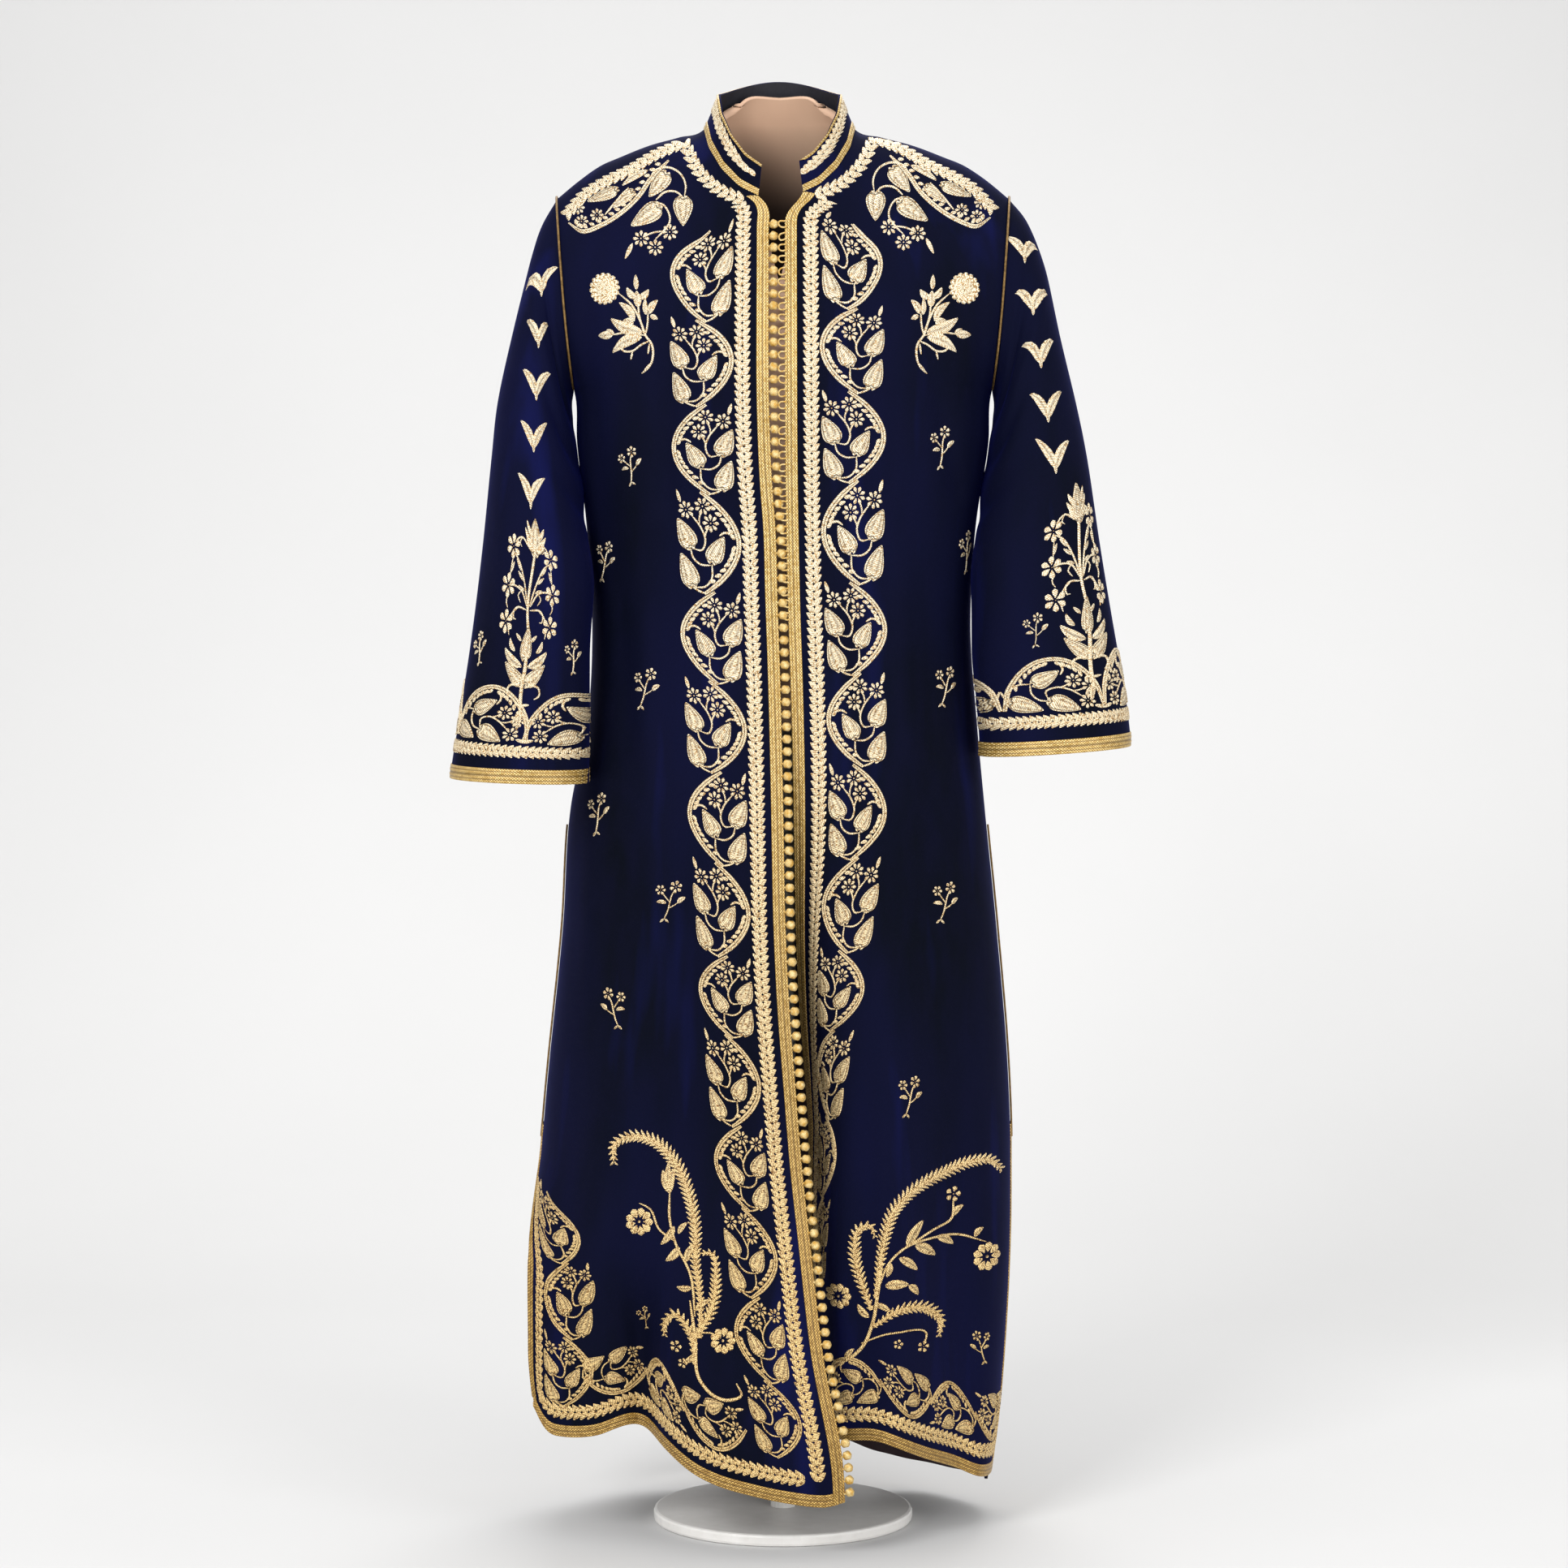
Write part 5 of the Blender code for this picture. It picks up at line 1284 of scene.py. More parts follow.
def hem_band(key, chain_start, chain_clear, clear, count, first):
    """A chain along a hem and scroll units lying on their sides above it, each clear of the far end."""
    sheet, sewing = SHEETS[key], SEWN[key]
    long = sheet.widths[HEM_ROW] * 1000
    sewing.add(chain([(chain_start, CHAIN_OFF), (long - chain_clear, CHAIN_OFF)]), sheet.edge)
    step = (long - clear - HEM_BAND_START) / count
    for k in range(count):
        lying = moved(UNIT, size=(first * (-1) ** k * HEM_BAND_WIDE / UNIT_WIDE, step / UNIT_TALL))
        to = (HEM_BAND_START + step * k, BAND_OFF + HEM_BAND_WIDE / 2)
        sewing.add(moved(lying, to, turn=90), sheet.edge)


right, left, back = SHEETS["right"], SHEETS["left"], SHEETS["back"]
hem_band("right", 40.0, 28.0, 84.0, 3, -1)
hem_band("left", 40.0, 14.0, 10.0, 4, 1)
hem_band("back", 28.0, 28.0, 92.0, 6, 1)
SEWN["right"].add(chain([(CHAIN_OFF, 30.0), (CHAIN_OFF, 250.0)]), right.side)
scroll_band(SEWN["right"], right.side, (262.0, 182.0, 108.0, SLIT_BAND_END), (60, 56))
for place, column in ((back.edge, 0), (back.side, -1)):
    top = up_edge(back, SLIT_BAND_TOP, column) * 1000
    marks = np.linspace(top, SLIT_BAND_END, 1 + round((top - SLIT_BAND_END) / SLIT_BAND_STEP))
    SEWN["back"].add(chain([(CHAIN_OFF, 34.0), (CHAIN_OFF, top + 4)]), place)
    scroll_band(SEWN["back"], place, marks, (48, 46))
print("hem and slit bands sewn")

# %% [markdown]
# ## Single flowers, sprigs and sprays
#
# Between the bands the ground is scattered with small sprigs. The chest has a larger flower on each side,
# the shoulders an arch of leaves, and the lower fronts long curled feathers with flowers on thin stems.
# Lists give each one's place as it is seen, in metres, and then its hand, its turn and its size.


# %% Sprigs and chest flowers
def sprig(size=1.0, hand=1):
    """Two small flowers and two leaves on a forked stem, about 30 mm high."""
    made = cords(((1.6, (-5, -19), (-1, -10), (1, -2), (3, 5), (5, 9)), (1.4, (1, -2), (-3, 3), (-6, 7)),
                  (1.4, (-1, -8), (5, -5), (9, -2))))
    made += leaves((((8, -3), (17, 3), 5.5, 1.0), ((-2, -3), (-13, -2), 4.6, -1.2),
                    ((-5, -18), (-9, -22), 2.6), ((-4, -18), (0, -22), 2.6)))
    made += daisies((((7, 13), 6.4, 6, 0.3), ((-8, 10), 5.4, 6)))
    return moved(made, size=(hand * size, size))


def rose(centre, radius):
    """A round flower: a raised disc with a scalloped rim and swirled petals on it."""
    made = [disc(centre, radius * 0.93, 1.2)]
    for a in np.arange(16) * np.pi / 8:
        rim = centre + radius * 0.86 * np.array([np.cos(a), np.sin(a)])
        made.append(disc(rim, radius * 0.18, 1.9, 0.3))
    for a in np.arange(9) * 2 * np.pi / 9:
        tip = centre + radius * 0.66 * np.array([np.cos(a), np.sin(a)])
        made.append(leaf(centre, tip, radius * 0.36, radius * 0.12, 2.6, slit=0.15))
    return made


def chest_flower(hand=1):
    """A rose beside a bent stem, whose branches carry lily leaves."""
    made = rose(np.array([-42.0, 50.0]), 16.5)
    made += cords((
        (2.6, (-27, 44), (-13, 30), (-5, 14), (0, 0), (6, -8), (8, -20), (6, -30), (0, -36)),
        (2.4, (5, -5), (-5, -9), (-13, -14), (-23, -13), (-27, -9)),
        (2.2, (-7, 37), (-6, 19), (0, 1)), (2.2, (3, 22), (2, 10), (0, 1)),
        (2.2, (0, 0), (-18, 4), (-36, 3)), (2.6, (-13, -14), (-14, -22)), (2.4, (4, -8), (3, -18))), 1.3)
    made += leaves((
        ((-8, 46), (-8, 63), 6), ((-8, 37), (-18, 50), 8, 2), ((-7, 37), (5, 47), 8, -2),
        ((-7, 28), (-8, 46), 9), ((1, 20), (1, 38), 6, 1), ((4, 21), (14, 36), 8, 2),
        ((5, 20), (13, 16), 6), ((-11, 14), (-28, 35), 9, -3), ((-12, 12), (-24, 16), 6, -2),
        ((-2, 3), (-38, 20), 13, 3), ((-34, 3), (-53, 4), 9), ((-33, 4), (-42, 9), 5),
        ((-3, -1), (-36, -15), 13, -4), ((8, -26), (0, -37), 4)), rise=1.6, slit=0.4, rows=9)
    return moved(made, size=(hand, 1.0))


def sew_sprig(key, x, z, hand=1, turn=0, size=1.0):
    """Sew a sprig where it is seen: the back's from behind, the fronts' from the front."""
    SEWN[key].add(sprig(size, hand), SHEETS[key].spot(x, z, turn, 1 if key == "back" else -1))


SPRIGS = {
    "right": ((-0.149, 1.057, 1, 20, 0.9), (-0.175, 0.964), (-0.135, 0.841), (-0.182, 0.717, 1, 8),
              (-0.111, 0.635), (-0.165, 0.529, -1), (-0.135, 0.227, 1, 25, 0.55)),
    "left": ((0.154, 1.075, 1, 10), (0.180, 0.973, 1, 10), (0.159, 0.842), (0.158, 0.632), (0.123, 0.446),
             (0.196, 0.190, -1, 0, 0.85)),
    "back": ((-0.11, 1.18), (0.11, 1.17, -1), (-0.13, 1.02), (0.0, 1.10, 1, 5), (0.12, 1.01, -1),
             (-0.05, 0.93, -1), (0.06, 0.86), (-0.13, 0.82), (0.14, 0.76, -1), (-0.02, 0.76),
             (-0.09, 0.66, -1), (0.06, 0.63), (-0.17, 0.56), (0.16, 0.54, -1), (-0.02, 0.52),
             (0.08, 0.42), (-0.11, 0.43, -1), (-0.01, 0.31), (-0.12, 0.28), (0.12, 0.27, -1))}
for key, places in SPRIGS.items():
    for place in places:
        sew_sprig(key, *place)
SEWN["right"].add(chest_flower(), right.spot(-0.133, 1.182))
SEWN["left"].add(chest_flower(-1), left.spot(0.136, 1.182))
print("sprigs:", {key: len(places) for key, places in SPRIGS.items()})


# %% Shoulders and neckline
def shoulder(hand):
    """One shoulder as seen from the front, in millimetres from the body's middle and the floor: a chain
    round the neck and one along the shoulder, an arch with teeth over it and flowers under it, and a hanging
    spray of heart-shaped leaves and daisies."""
    made = chain([(36, 1317), (60, 1329), (79, 1348), (91, 1372)], width=15.5)
    made += chain([(97, 1375), (120, 1365), (145, 1350), (170, 1338), (190, 1326), (206, 1309)], width=14)
    arc = [(108, 1358), (125, 1340), (137, 1322), (155, 1305), (175, 1293), (192, 1288), (206, 1297)]
    made.append(cord(arc, 4.6, 1.3, double=True))
    path = rounded(arc, 7.5)
    for p, f, n in list(zip(path, *frame_of(path)))[1:-1]:
        made.append(leaf(p + n * 3.0, p + n * 7.5 + f * 5.0, 4.0, slit=0.25))
    made += [leaf((127, 1349), (155, 1332), 8.0, 2.0, 1.4), leaf((142, 1276), (150, 1259), 5.0, slit=0.3)]
    made += pears((((159, 1329), (187, 1316), 12, 2.0), ((143, 1327), (163, 1312), 11, -2.0),
                   ((110, 1345), (125, 1320), 18, 2.0), ((93, 1320), (95, 1292), 20, -2.0),
                   ((117, 1312), (142, 1290), 20, 3.0)))
    made += cords((
        (2.0, (147, 1331), (157, 1320), (170, 1304)),
        (2.2, (127, 1338), (121, 1348), (109, 1351), (96, 1344), (91, 1333), (92, 1321)),
        (2.2, (120, 1318), (111, 1326), (100, 1326), (93, 1320)),
        (2.2, (124, 1313), (114, 1314), (108, 1307), (106, 1297), (113, 1286), (120, 1279)),
        (1.8, (113, 1287), (124, 1285), (132, 1281))))
    made += daisies((((178, 1304), 7.0), ((197, 1312), 7.0), ((193, 1298), 7.0), ((106, 1286), 8.4),
                     ((134, 1280), 8.4), ((120, 1271), 8.4)))
    return moved(made, size=(hand, 1.0))


SEWN["right"].add(moved(shoulder(-1), (-4.0, -3.0)), right.seen)
SEWN["left"].add(moved(shoulder(1), (-3.0, 2.0)), left.seen)
print("shoulders sewn")


# %% Long sprays
def spray(plumes, stems, flowers, table):
    """Feathers with their reach, stems, flowers and single leaves, as one drawing."""
    made = [one for points, reach in plumes for one in plume(points, reach)]
    return made + cords(stems, 1.5) + daisies(flowers) + leaves(table, bend=1.5, rise=1.5)


RIGHT_SPRAY = spray(
    (([(-80, 215), (-80, 250), (-85, 290), (-85, 315), (-90, 345), (-105, 380), (-125, 400), (-145, 405),
       (-165, 395), (-165, 380)], (3, 5, 7, 8, 8, 7, 4)),
     ([(-85, 215), (-70, 240), (-65, 270), (-70, 295), (-80, 295)], (4, 7, 7, 5, 3)),
     ([(-85, 190), (-90, 220), (-105, 235), (-115, 225), (-115, 215)], (3, 6, 6, 3))),
    ((3.6, (-90, 250), (-85, 215), (-80, 175), (-65, 160), (-55, 157), (-40, 162), (-45, 173)),
     (2.8, (-85, 235), (-90, 275), (-105, 305), (-110, 325), (-110, 355)),
     (2.2, (-105, 305), (-120, 315), (-130, 335), (-140, 340)), (2.0, (-80, 220), (-70, 220), (-60, 215))),
    (((-140, 322), 14.0, 9, 0, 0.2, 0.85), ((-58, 213), 13.0, 9, 0, 0.2, 0.85), ((-104, 205), 6.0, 5),
     ((-97, 190), 5.0, 5)),
    (((-105, 320), (-120, 300), 8), ((-100, 300), (-115, 285), 9), ((-95, 285), (-85, 305), 8),
     ((-110, 350), (-105, 376), 8), ((-110, 350), (-117, 374), 8), ((-110, 350), (-111, 382), 8),
     ((-88, 262), (-104, 262), 7), ((-85, 200), (-98, 190), 6), ((-85, 240), (-70, 252), 7),
     ((-102, 312), (-92, 324), 6)))
LEFT_SPRAY = spray(
    (([(90, 250), (95, 290), (100, 315), (107, 334), (122, 350), (140, 360), (160, 367), (185, 375),
       (205, 374), (215, 364)], (3, 6, 8, 8, 8, 7, 4)),
     ([(86, 238), (76, 265), (70, 290), (75, 317), (85, 320), (89, 311)], (4, 7, 8, 6, 3)),
     ([(88, 222), (114, 238), (138, 237), (155, 220), (153, 208)], (3, 7, 7, 3))),
    ((3.8, (97, 292), (92, 255), (87, 225), (76, 200), (56, 186), (44, 186)),
     (2.6, (93, 260), (104, 286), (116, 297), (146, 304), (175, 303), (200, 294)),
     (2.4, (116, 297), (147, 312), (165, 320), (167, 340)),
     (2.0, (76, 205), (106, 216), (140, 210), (138, 202))),
    (((201, 279), 15.0, 9, 0, 0.2, 0.85), ((54, 250), 13.0, 9, 0, 0.2, 0.85), ((167, 344), 8.0, 5),
     ((137, 199), 6.0, 5), ((112, 205), 5.0, 5)),
    (((120, 298), (138, 324), 11), ((128, 300), (150, 286), 11), ((150, 305), (168, 294), 9),
     ((104, 286), (100, 270), 7), ((166, 322), (178, 333), 7), ((98, 262), (124, 262), 11),
     ((122, 262), (132, 250), 8), ((112, 290), (132, 274), 9), ((84, 230), (72, 244), 8),
     ((88, 244), (106, 236), 7), ((188, 300), (198, 309), 7), ((60, 188), (70, 200), 6)))
SEWN["right"].add(RIGHT_SPRAY, right.seen)
SEWN["left"].add(LEFT_SPRAY, left.seen)
print("sprays:", len(RIGHT_SPRAY), "and", len(LEFT_SPRAY), "pads")

# %% [markdown]
# ## Sleeves
#
# A row of small winged leaves runs down the outside of each sleeve to a flowering tree, which stands
# between two of the arches round the cuff. A leaf chain and braid finish the edge.


# %% Sleeve embroidery
def wings():
    """Two winged leaves that open upwards from one point, with a small point between them."""
    return [leaf((0, -16), (-20, 16), 10, -4.0, 1.5), leaf((0, -16), (20, 16), 10, 4.0, 1.5),
            leaf((0, -20), (0, -4), 4, rise=1.4)]


def lotus(base, tall):
    """A closed flower: a heart-shaped leaf between flames."""
    made = [pear(base, base + np.array([0.0, tall]), tall * 0.5)]
    for hand in (-1, 1):
        for x, start, end in ((0.36, 0.02, 0.40), (0.44, 0.16, 0.64), (0.36, 0.36, 0.86)):
            foot = base + np.array([hand * 1.0, start * tall])
            tip = base + np.array([hand * x * tall, end * tall])
            made.append(leaf(foot, tip, tall * 0.17, -hand * 1.5, 1.2, 0.2))
    return made


# one side of the tree, from its middle line: cords with their widths, leaves with their widths and bends
TREE_CORDS = (
    (2.0, (2, 119), (14, 120), (22, 112), (27, 108)), (1.8, (12, 120), (18, 116), (17, 110), (14, 110)),
    (2.0, (2, 122), (10, 134), (20, 137), (28, 136)), (1.6, (10, 124), (14, 130), (10, 134)),
    (1.6, (27, 118), (30, 124), (27, 128)), (2.0, (1, 122), (9, 146), (16, 158), (24, 164)),
    (1.8, (27, 145), (26, 152), (25, 158)), (2.0, (4, 172), (12, 178), (18, 176), (22, 172)),
    (1.6, (12, 178), (16, 173), (13, 170)), (1.8, (22, 96), (24, 104)))
TREE_LEAVES = (
    ((9, 51), (15, 58), 3.6, 0), ((2, 68), (27, 86), 10.5, -3.0, 1.5, 0.5), ((12, 82), (20, 95), 6.0, -2.0),
    ((5, 92), (13, 99), 4.0, 0), ((8, 142), (17, 150), 3.6, 0), ((6, 134), (15, 138), 3.4, 0),
    ((12, 150), (20, 160), 3.4, 0), ((27, 146), (22, 157), 3.4, 0))


def flowering_tree():
    """A flowering tree of 200 mm, its foot at the origin: a jointed trunk with paddle leaves below, a bud,
    six star flowers on arms that curl, and a lotus at the top."""
    made = [cord([(0, 18), (-1, 34), (0, 52), (2, 66), (3, 78)], 4.4, 1.7, taper=(0.8, 0.8)),
            cord([(3, 104), (1, 118), (1, 132), (3, 150), (6, 172)], 3.4, 1.5, taper=(1.0, 0.6)),
            cord([(-7, 31), (0, 30), (8, 31)], 3.6, 1.6), pear((1, 76), (4, 106), 13.0)]
    made += leaves((((0, 26), (-4, 0), 6.5), ((2, 22), (6, 9), 4.0), ((-3, 20), (-9, 8), 4.0)))
    middle = (1.5, 0)
    for hand in (-1, 1):
        size = (hand, 1)
        arm = np.multiply([(1, 48), (10, 51), (17, 49), (18, 41), (12, 37)], size) + middle
        made += [cord(arm, 2.8, 1.5)] + cords([(width, *np.multiply(points, size) + middle)
                                               for width, *points in TREE_CORDS])
        base, tip = np.multiply([(2, 52), (26, 69)], size) + middle
        made.append(pear(base, tip, 14.5, hand * 4.0))
        for base, tip, width, turn, *rest in TREE_LEAVES:
            base, tip = np.multiply([base, tip], size) + middle
            made.append(leaf(base, tip, width, hand * turn, *rest))
        for centre in np.multiply([(28, 107), (29, 136), (25, 168)], size) + middle:
            made += daisy(centre, 10.5, 6, 0.5, 0.1)
    return made + lotus(np.array([6.0, 168.0]), 32.0)


# a chain and four arches round each cuff, which start under the tree's foot
CUFF_ROW = 3
CUFF_CHAIN = 32.5
ARCH_MIDDLE = 69.0
ARCH_WIDE = 56
for key, foot in (("sleeve_right", (-0.2533, 0.8000)), ("sleeve_left", (0.3130, 0.8280))):
    sheet, sewing = SHEETS[key], SEWN[key]
    i, j = sheet.seen(np.array([foot]))
    start = float(j[0] / sheet.columns * sheet.widths[CUFF_ROW]) * 1000
    around = sheet.widths[CUFF_ROW] * 1000
    ring = [(around * k / 60, CUFF_CHAIN) for k in range(61)]
    pitch = around / round(around / CHAIN_PITCH)
    sewing.add(chain(ring, pitch, 15), sheet.edge)
    step = around / 4
    for k in range(4):
        size = (ARCH_WIDE / UNIT_WIDE, step * 0.97 / UNIT_TALL)
        centred = moved(ARCH, (0.0, step * 0.485), size=size)
        to = (start + step * (k + 0.5), ARCH_MIDDLE)
        sewing.add(moved(centred, to, 90, (1, (-1) ** k)), sheet.edge)
    print(key, "cuff", round(around), "mm round, 4 arches of", round(step), "mm")

# place, turn and size of each tree; turn, width and places of the winged leaves; small sprigs
TREES = {"sleeve_right": (-0.254, 0.800, -3, (1.0, 0.84)), "sleeve_left": (0.304, 0.828, 6, (1.2, 0.74))}
WINGS = {"sleeve_right": (0, 0.75, ((-0.236, 1.240), (-0.238, 1.190), (-0.240, 1.138), (-0.242, 1.087),
                                    (-0.244, 1.036))),
         "sleeve_left": (5, 1.0, ((0.236, 1.273), (0.243, 1.222), (0.250, 1.170), (0.257, 1.117),
                                  (0.264, 1.068)))}
SMALL = {"sleeve_right": ((-0.2948, 0.8800), (-0.204, 0.8720)), "sleeve_left": ((0.2443, 0.8974),)}
for key, sign in (("sleeve_right", -1), ("sleeve_left", 1)):
    sheet, sewing = SHEETS[key], SEWN[key]
    x, z, turn, size = TREES[key]
    sewing.add(moved(flowering_tree(), size=size), sheet.spot(x, z, turn))
    turn, wide, places = WINGS[key]
    for x, z in places:
        sewing.add(moved(wings(), size=(wide, 1.0)), sheet.spot(x, z, turn))
    for x, z in SMALL[key]:
        sewing.add(sprig(0.8), sheet.spot(x, z, 15, -1))
    for x, z in ((0.238, 1.18), (0.245, 1.08), (0.250, 0.98), (0.262, 0.89)):
        sewing.add(sprig(0.9, -sign), sheet.spot(sign * x, z, 0, 1))
print("sleeves sewn")

# %% [markdown]
# ## Collar
#
# The collar is a shaped band that stands on the neckline and leans in a little. Its outside is velvet
# with a leaf chain that narrows to both front ends, its inside charcoal. A narrow braid covers its foot and
# a narrower edging its top.

# %% Stand collar
COLLAR_HEIGHT = 0.0435
COLLAR_LEAN = 0.42
COLLAR_LEVELS = 14
COLLAR_POINTS = 150
COLLAR_DROP, COLLAR_DIP = 0.010, 0.005
# millimetres: the chain's distance from the foot and from the front ends
COLLAR_CHAIN, COLLAR_CHAIN_START = 22.5, 7.0
nape = back.points[-1]
inner = nape[np.abs(nape[:, 0] + NECK_SHIFT) < NECK_SIDE - 0.002]
neckline = np.concatenate((right.points[CORNER:, 0], inner, left.points[CORNER:, 0][::-1]))
neckline = along(neckline, length(neckline) * np.linspace(0, 1, COLLAR_POINTS))
inward = np.array([-NECK_SHIFT, 0.004, 0.0]) - neckline
inward = flatten(inward, 2)
stand = unit(inward * COLLAR_LEAN + np.array([0, 0, 1.0]))
end_share = np.abs(np.linspace(-1, 1, COLLAR_POINTS))
dip = COLLAR_DIP * np.sin(np.pi * np.clip(1.15 * end_share, 0, 1)) ** 2
tall = COLLAR_HEIGHT - COLLAR_DROP * end_share**2 - dip
levels = np.linspace(0, 1, COLLAR_LEVELS)[:, None, None]
grid = neckline + stand * (SEAM * 1.4 + levels * tall[:, None])
SHEETS["collar"] = Sheet(grid, normals(grid, -np.broadcast_to(inward, grid.shape)))
collar = SHEETS["collar"]
cloth("velvet_collar", collar, (VELVET, CHARCOAL), "collar")
SEWN["collar"] = Sewing(collar)
half = collar.widths[COLLAR_LEVELS // 2 - 1] * 1000 / 2
for hand, from_a in ((1, COLLAR_CHAIN_START), (-1, 2 * half - COLLAR_CHAIN_START)):
    path = [(from_a, COLLAR_CHAIN - 3.0), (from_a + hand * 30, COLLAR_CHAIN - 1.0),
            (half - hand * 4, COLLAR_CHAIN)]
    SEWN["collar"].add(chain(path, width=15.5, narrow=(0.35, 1.0)), collar.edge)
print("collar", round(2 * half), "mm round its middle")

# %% [markdown]
# ## Braid
#
# Flat braid is sewn on with its edges down. Each strip has four ribs, which rise about 1.3 mm, and the
# grooves between them are painted in shade.
# Each strip lies on the very points of its sheet, at a set distance from the edge.


# %% Braid strips
# share of the way across, height in millimetres and painted shade of each rib and groove
RIB_PLACES = np.array([0.0, 0.0, 0.07, 0.14, 0.22, 0.29, 0.36, 0.43, 0.5, 0.57, 0.64, 0.71, 0.78, 0.86,
                       0.93, 1.0, 1.0])
RIB_HEIGHTS = np.array([-0.2, 0.7, 1.15, 1.25, 0.85, 1.3, 1.35, 0.9, 0.85, 0.9, 1.35, 1.3, 0.85, 1.25, 1.15,
                        0.7, -0.2])
RIB_SHADE = np.array([0.4, 0.2, 0, 0, 1, 0, 0, 0.6, 1, 0.6, 0, 0, 1, 0, 0, 0.2, 0.4])
# metres: widths of the braids, how far they run over the slits' tops, and the length of one step
BRAID = 0.0118
CUFF_BRAID = 0.0140
COLLAR_BRAID = 0.0070
EDGING = 0.0026
SLIT_OVER = 0.02
BRAID_STEP = 0.004


def braid(name, sheet, place, start, end, inner_a, outer_a, across_rows=False):
    """A ribbed strip from start to end (metres along it) between two distances from the edge (metres).
    Points: start + t (end - start) along, inner + q (outer - inner) across, lifted by the rib heights."""
    count = max(4, int(abs(end - start) / BRAID_STEP))
    RUNS.append(abs(end - start))
    run = np.linspace(start, end, count)[:, None] * np.ones_like(RIB_PLACES)
    off = (inner_a + (outer_a - inner_a) * RIB_PLACES)[None, :] * np.ones_like(run)
    i, j = place(np.stack((run, off) if across_rows else (off, run), axis=-1))
    points = sheet.read(i, j, RIB_HEIGHTS[None, :] * 0.001 * np.ones_like(run))
    r, c = count // 2, len(RIB_PLACES) // 2
    faces = outward(skin(count, len(RIB_PLACES)), points[r, c + 1] - points[r, c],
                    points[r + 1, c] - points[r, c], sheet.normal(i[r, c], j[r, c]))
    uv = np.stack((run, off), axis=-1).reshape(-1, 2) * 1000
    gap = np.broadcast_to(RIB_SHADE, run.shape).ravel()
    obj = make_mesh(name, points.reshape(-1, 3), faces, (BRAID_GOLD,), uv=uv, gap=gap)
    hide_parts(name)
    return obj


TRIM = {key: [] for key in SHEETS}
RUNS = []
for key, sheet in (("right", right), ("left", left)):
    slit_top = up_edge(sheet, SLIT_TOP + SLIT_OVER, -1)
    TRIM[key] += [
        braid("braid_edge_" + key, sheet, sheet.edge, 0.0, sheet.rises[CORNER], 0.0, BRAID),
        braid("braid_hem_" + key, sheet, sheet.edge, BRAID, sheet.widths[0], 0.0, BRAID, True),
        braid("braid_slit_front_" + key, sheet, sheet.side, BRAID, slit_top, 0.0, BRAID)]
TRIM["back"].append(braid("braid_hem_back", back, back.edge, 0.0, back.widths[0], 0.0, BRAID, True))
for key, place, column in (("right", back.edge, 0), ("left", back.side, -1)):
    slit_top = up_edge(back, SLIT_TOP + SLIT_OVER, column)
    TRIM["back"].append(braid("braid_slit_back_" + key, back, place, BRAID, slit_top, 0.0, BRAID))
for key in ("right", "left"):
    sheet = SHEETS["sleeve_" + key]
    TRIM["sleeve_" + key].append(
        braid("braid_cuff_" + key, sheet, sheet.edge, 0.0, sheet.widths[1], 0.0, CUFF_BRAID, True))
rim = collar.rises[-1] - 0.0002
TRIM["collar"] += [
    braid("braid_collar_foot", collar, collar.edge, 0.0, collar.widths[0], 0.0, COLLAR_BRAID, True),
    braid("braid_collar_top", collar, collar.edge, 0.0, collar.widths[-1], rim - EDGING, rim, True)]
print(len(RUNS), "braid strips,", round(sum(RUNS), 2), "m in all")

# %% [markdown]
# ## Buttons, loops and piping
#
# The buttons are small balls knotted from gold cord, each on a short stalk. Facing the upper ones, from
# about 0.9 m up, the left front's edge has a thin cord that is drawn into one small loop at each button's
# pitch. The armhole and side seams are covered by a twisted cord.


# %% Tubes and balls
def tube(points, radius, sides=8):
    """Points of a round tube along a path: centre + r (cos a * n + sin a * b), with its UVs."""
    way = unit(np.gradient(points, axis=0))
    guide = np.array([0.0, -1.0, 0.05]) if abs(way[:, 1]).mean() < 0.8 else np.array([0.0, 0.0, 1.0])
    first = unit(np.cross(way, guide))
    second = np.cross(way, first)
    angle = np.linspace(0, 2 * np.pi, sides + 1)
    ring = np.cos(angle)[None, :, None] * first[:, None] + np.sin(angle)[None, :, None] * second[:, None]
    uv = np.broadcast_arrays(distances(points)[:, None] * 1000, angle[None, :] * radius * 1000)
    return points[:, None] + radius * ring, np.stack(uv, axis=-1)


def gather(made, name, stands_for=None, paint=CORD_GOLD):
    """One mesh of equal grids of points, each with its UVs."""
    grids, uvs = (np.array(part) for part in zip(*made))
    number, rows, columns = grids.shape[:3]
    faces = (np.arange(number)[:, None, None] * rows * columns + skin(rows, columns)[None]).reshape(-1, 4)
    ring, onward = grids[0, rows // 2], grids[0, rows // 2 + 1, 0]
    faces = outward(faces, ring[1] - ring[0], onward - ring[0], ring[0] - ring.mean(axis=0))
    obj = make_mesh(name, grids.reshape(-1, 3), faces, (paint,), uv=uvs.reshape(-1, 2))
    if stands_for:
        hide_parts(stands_for)


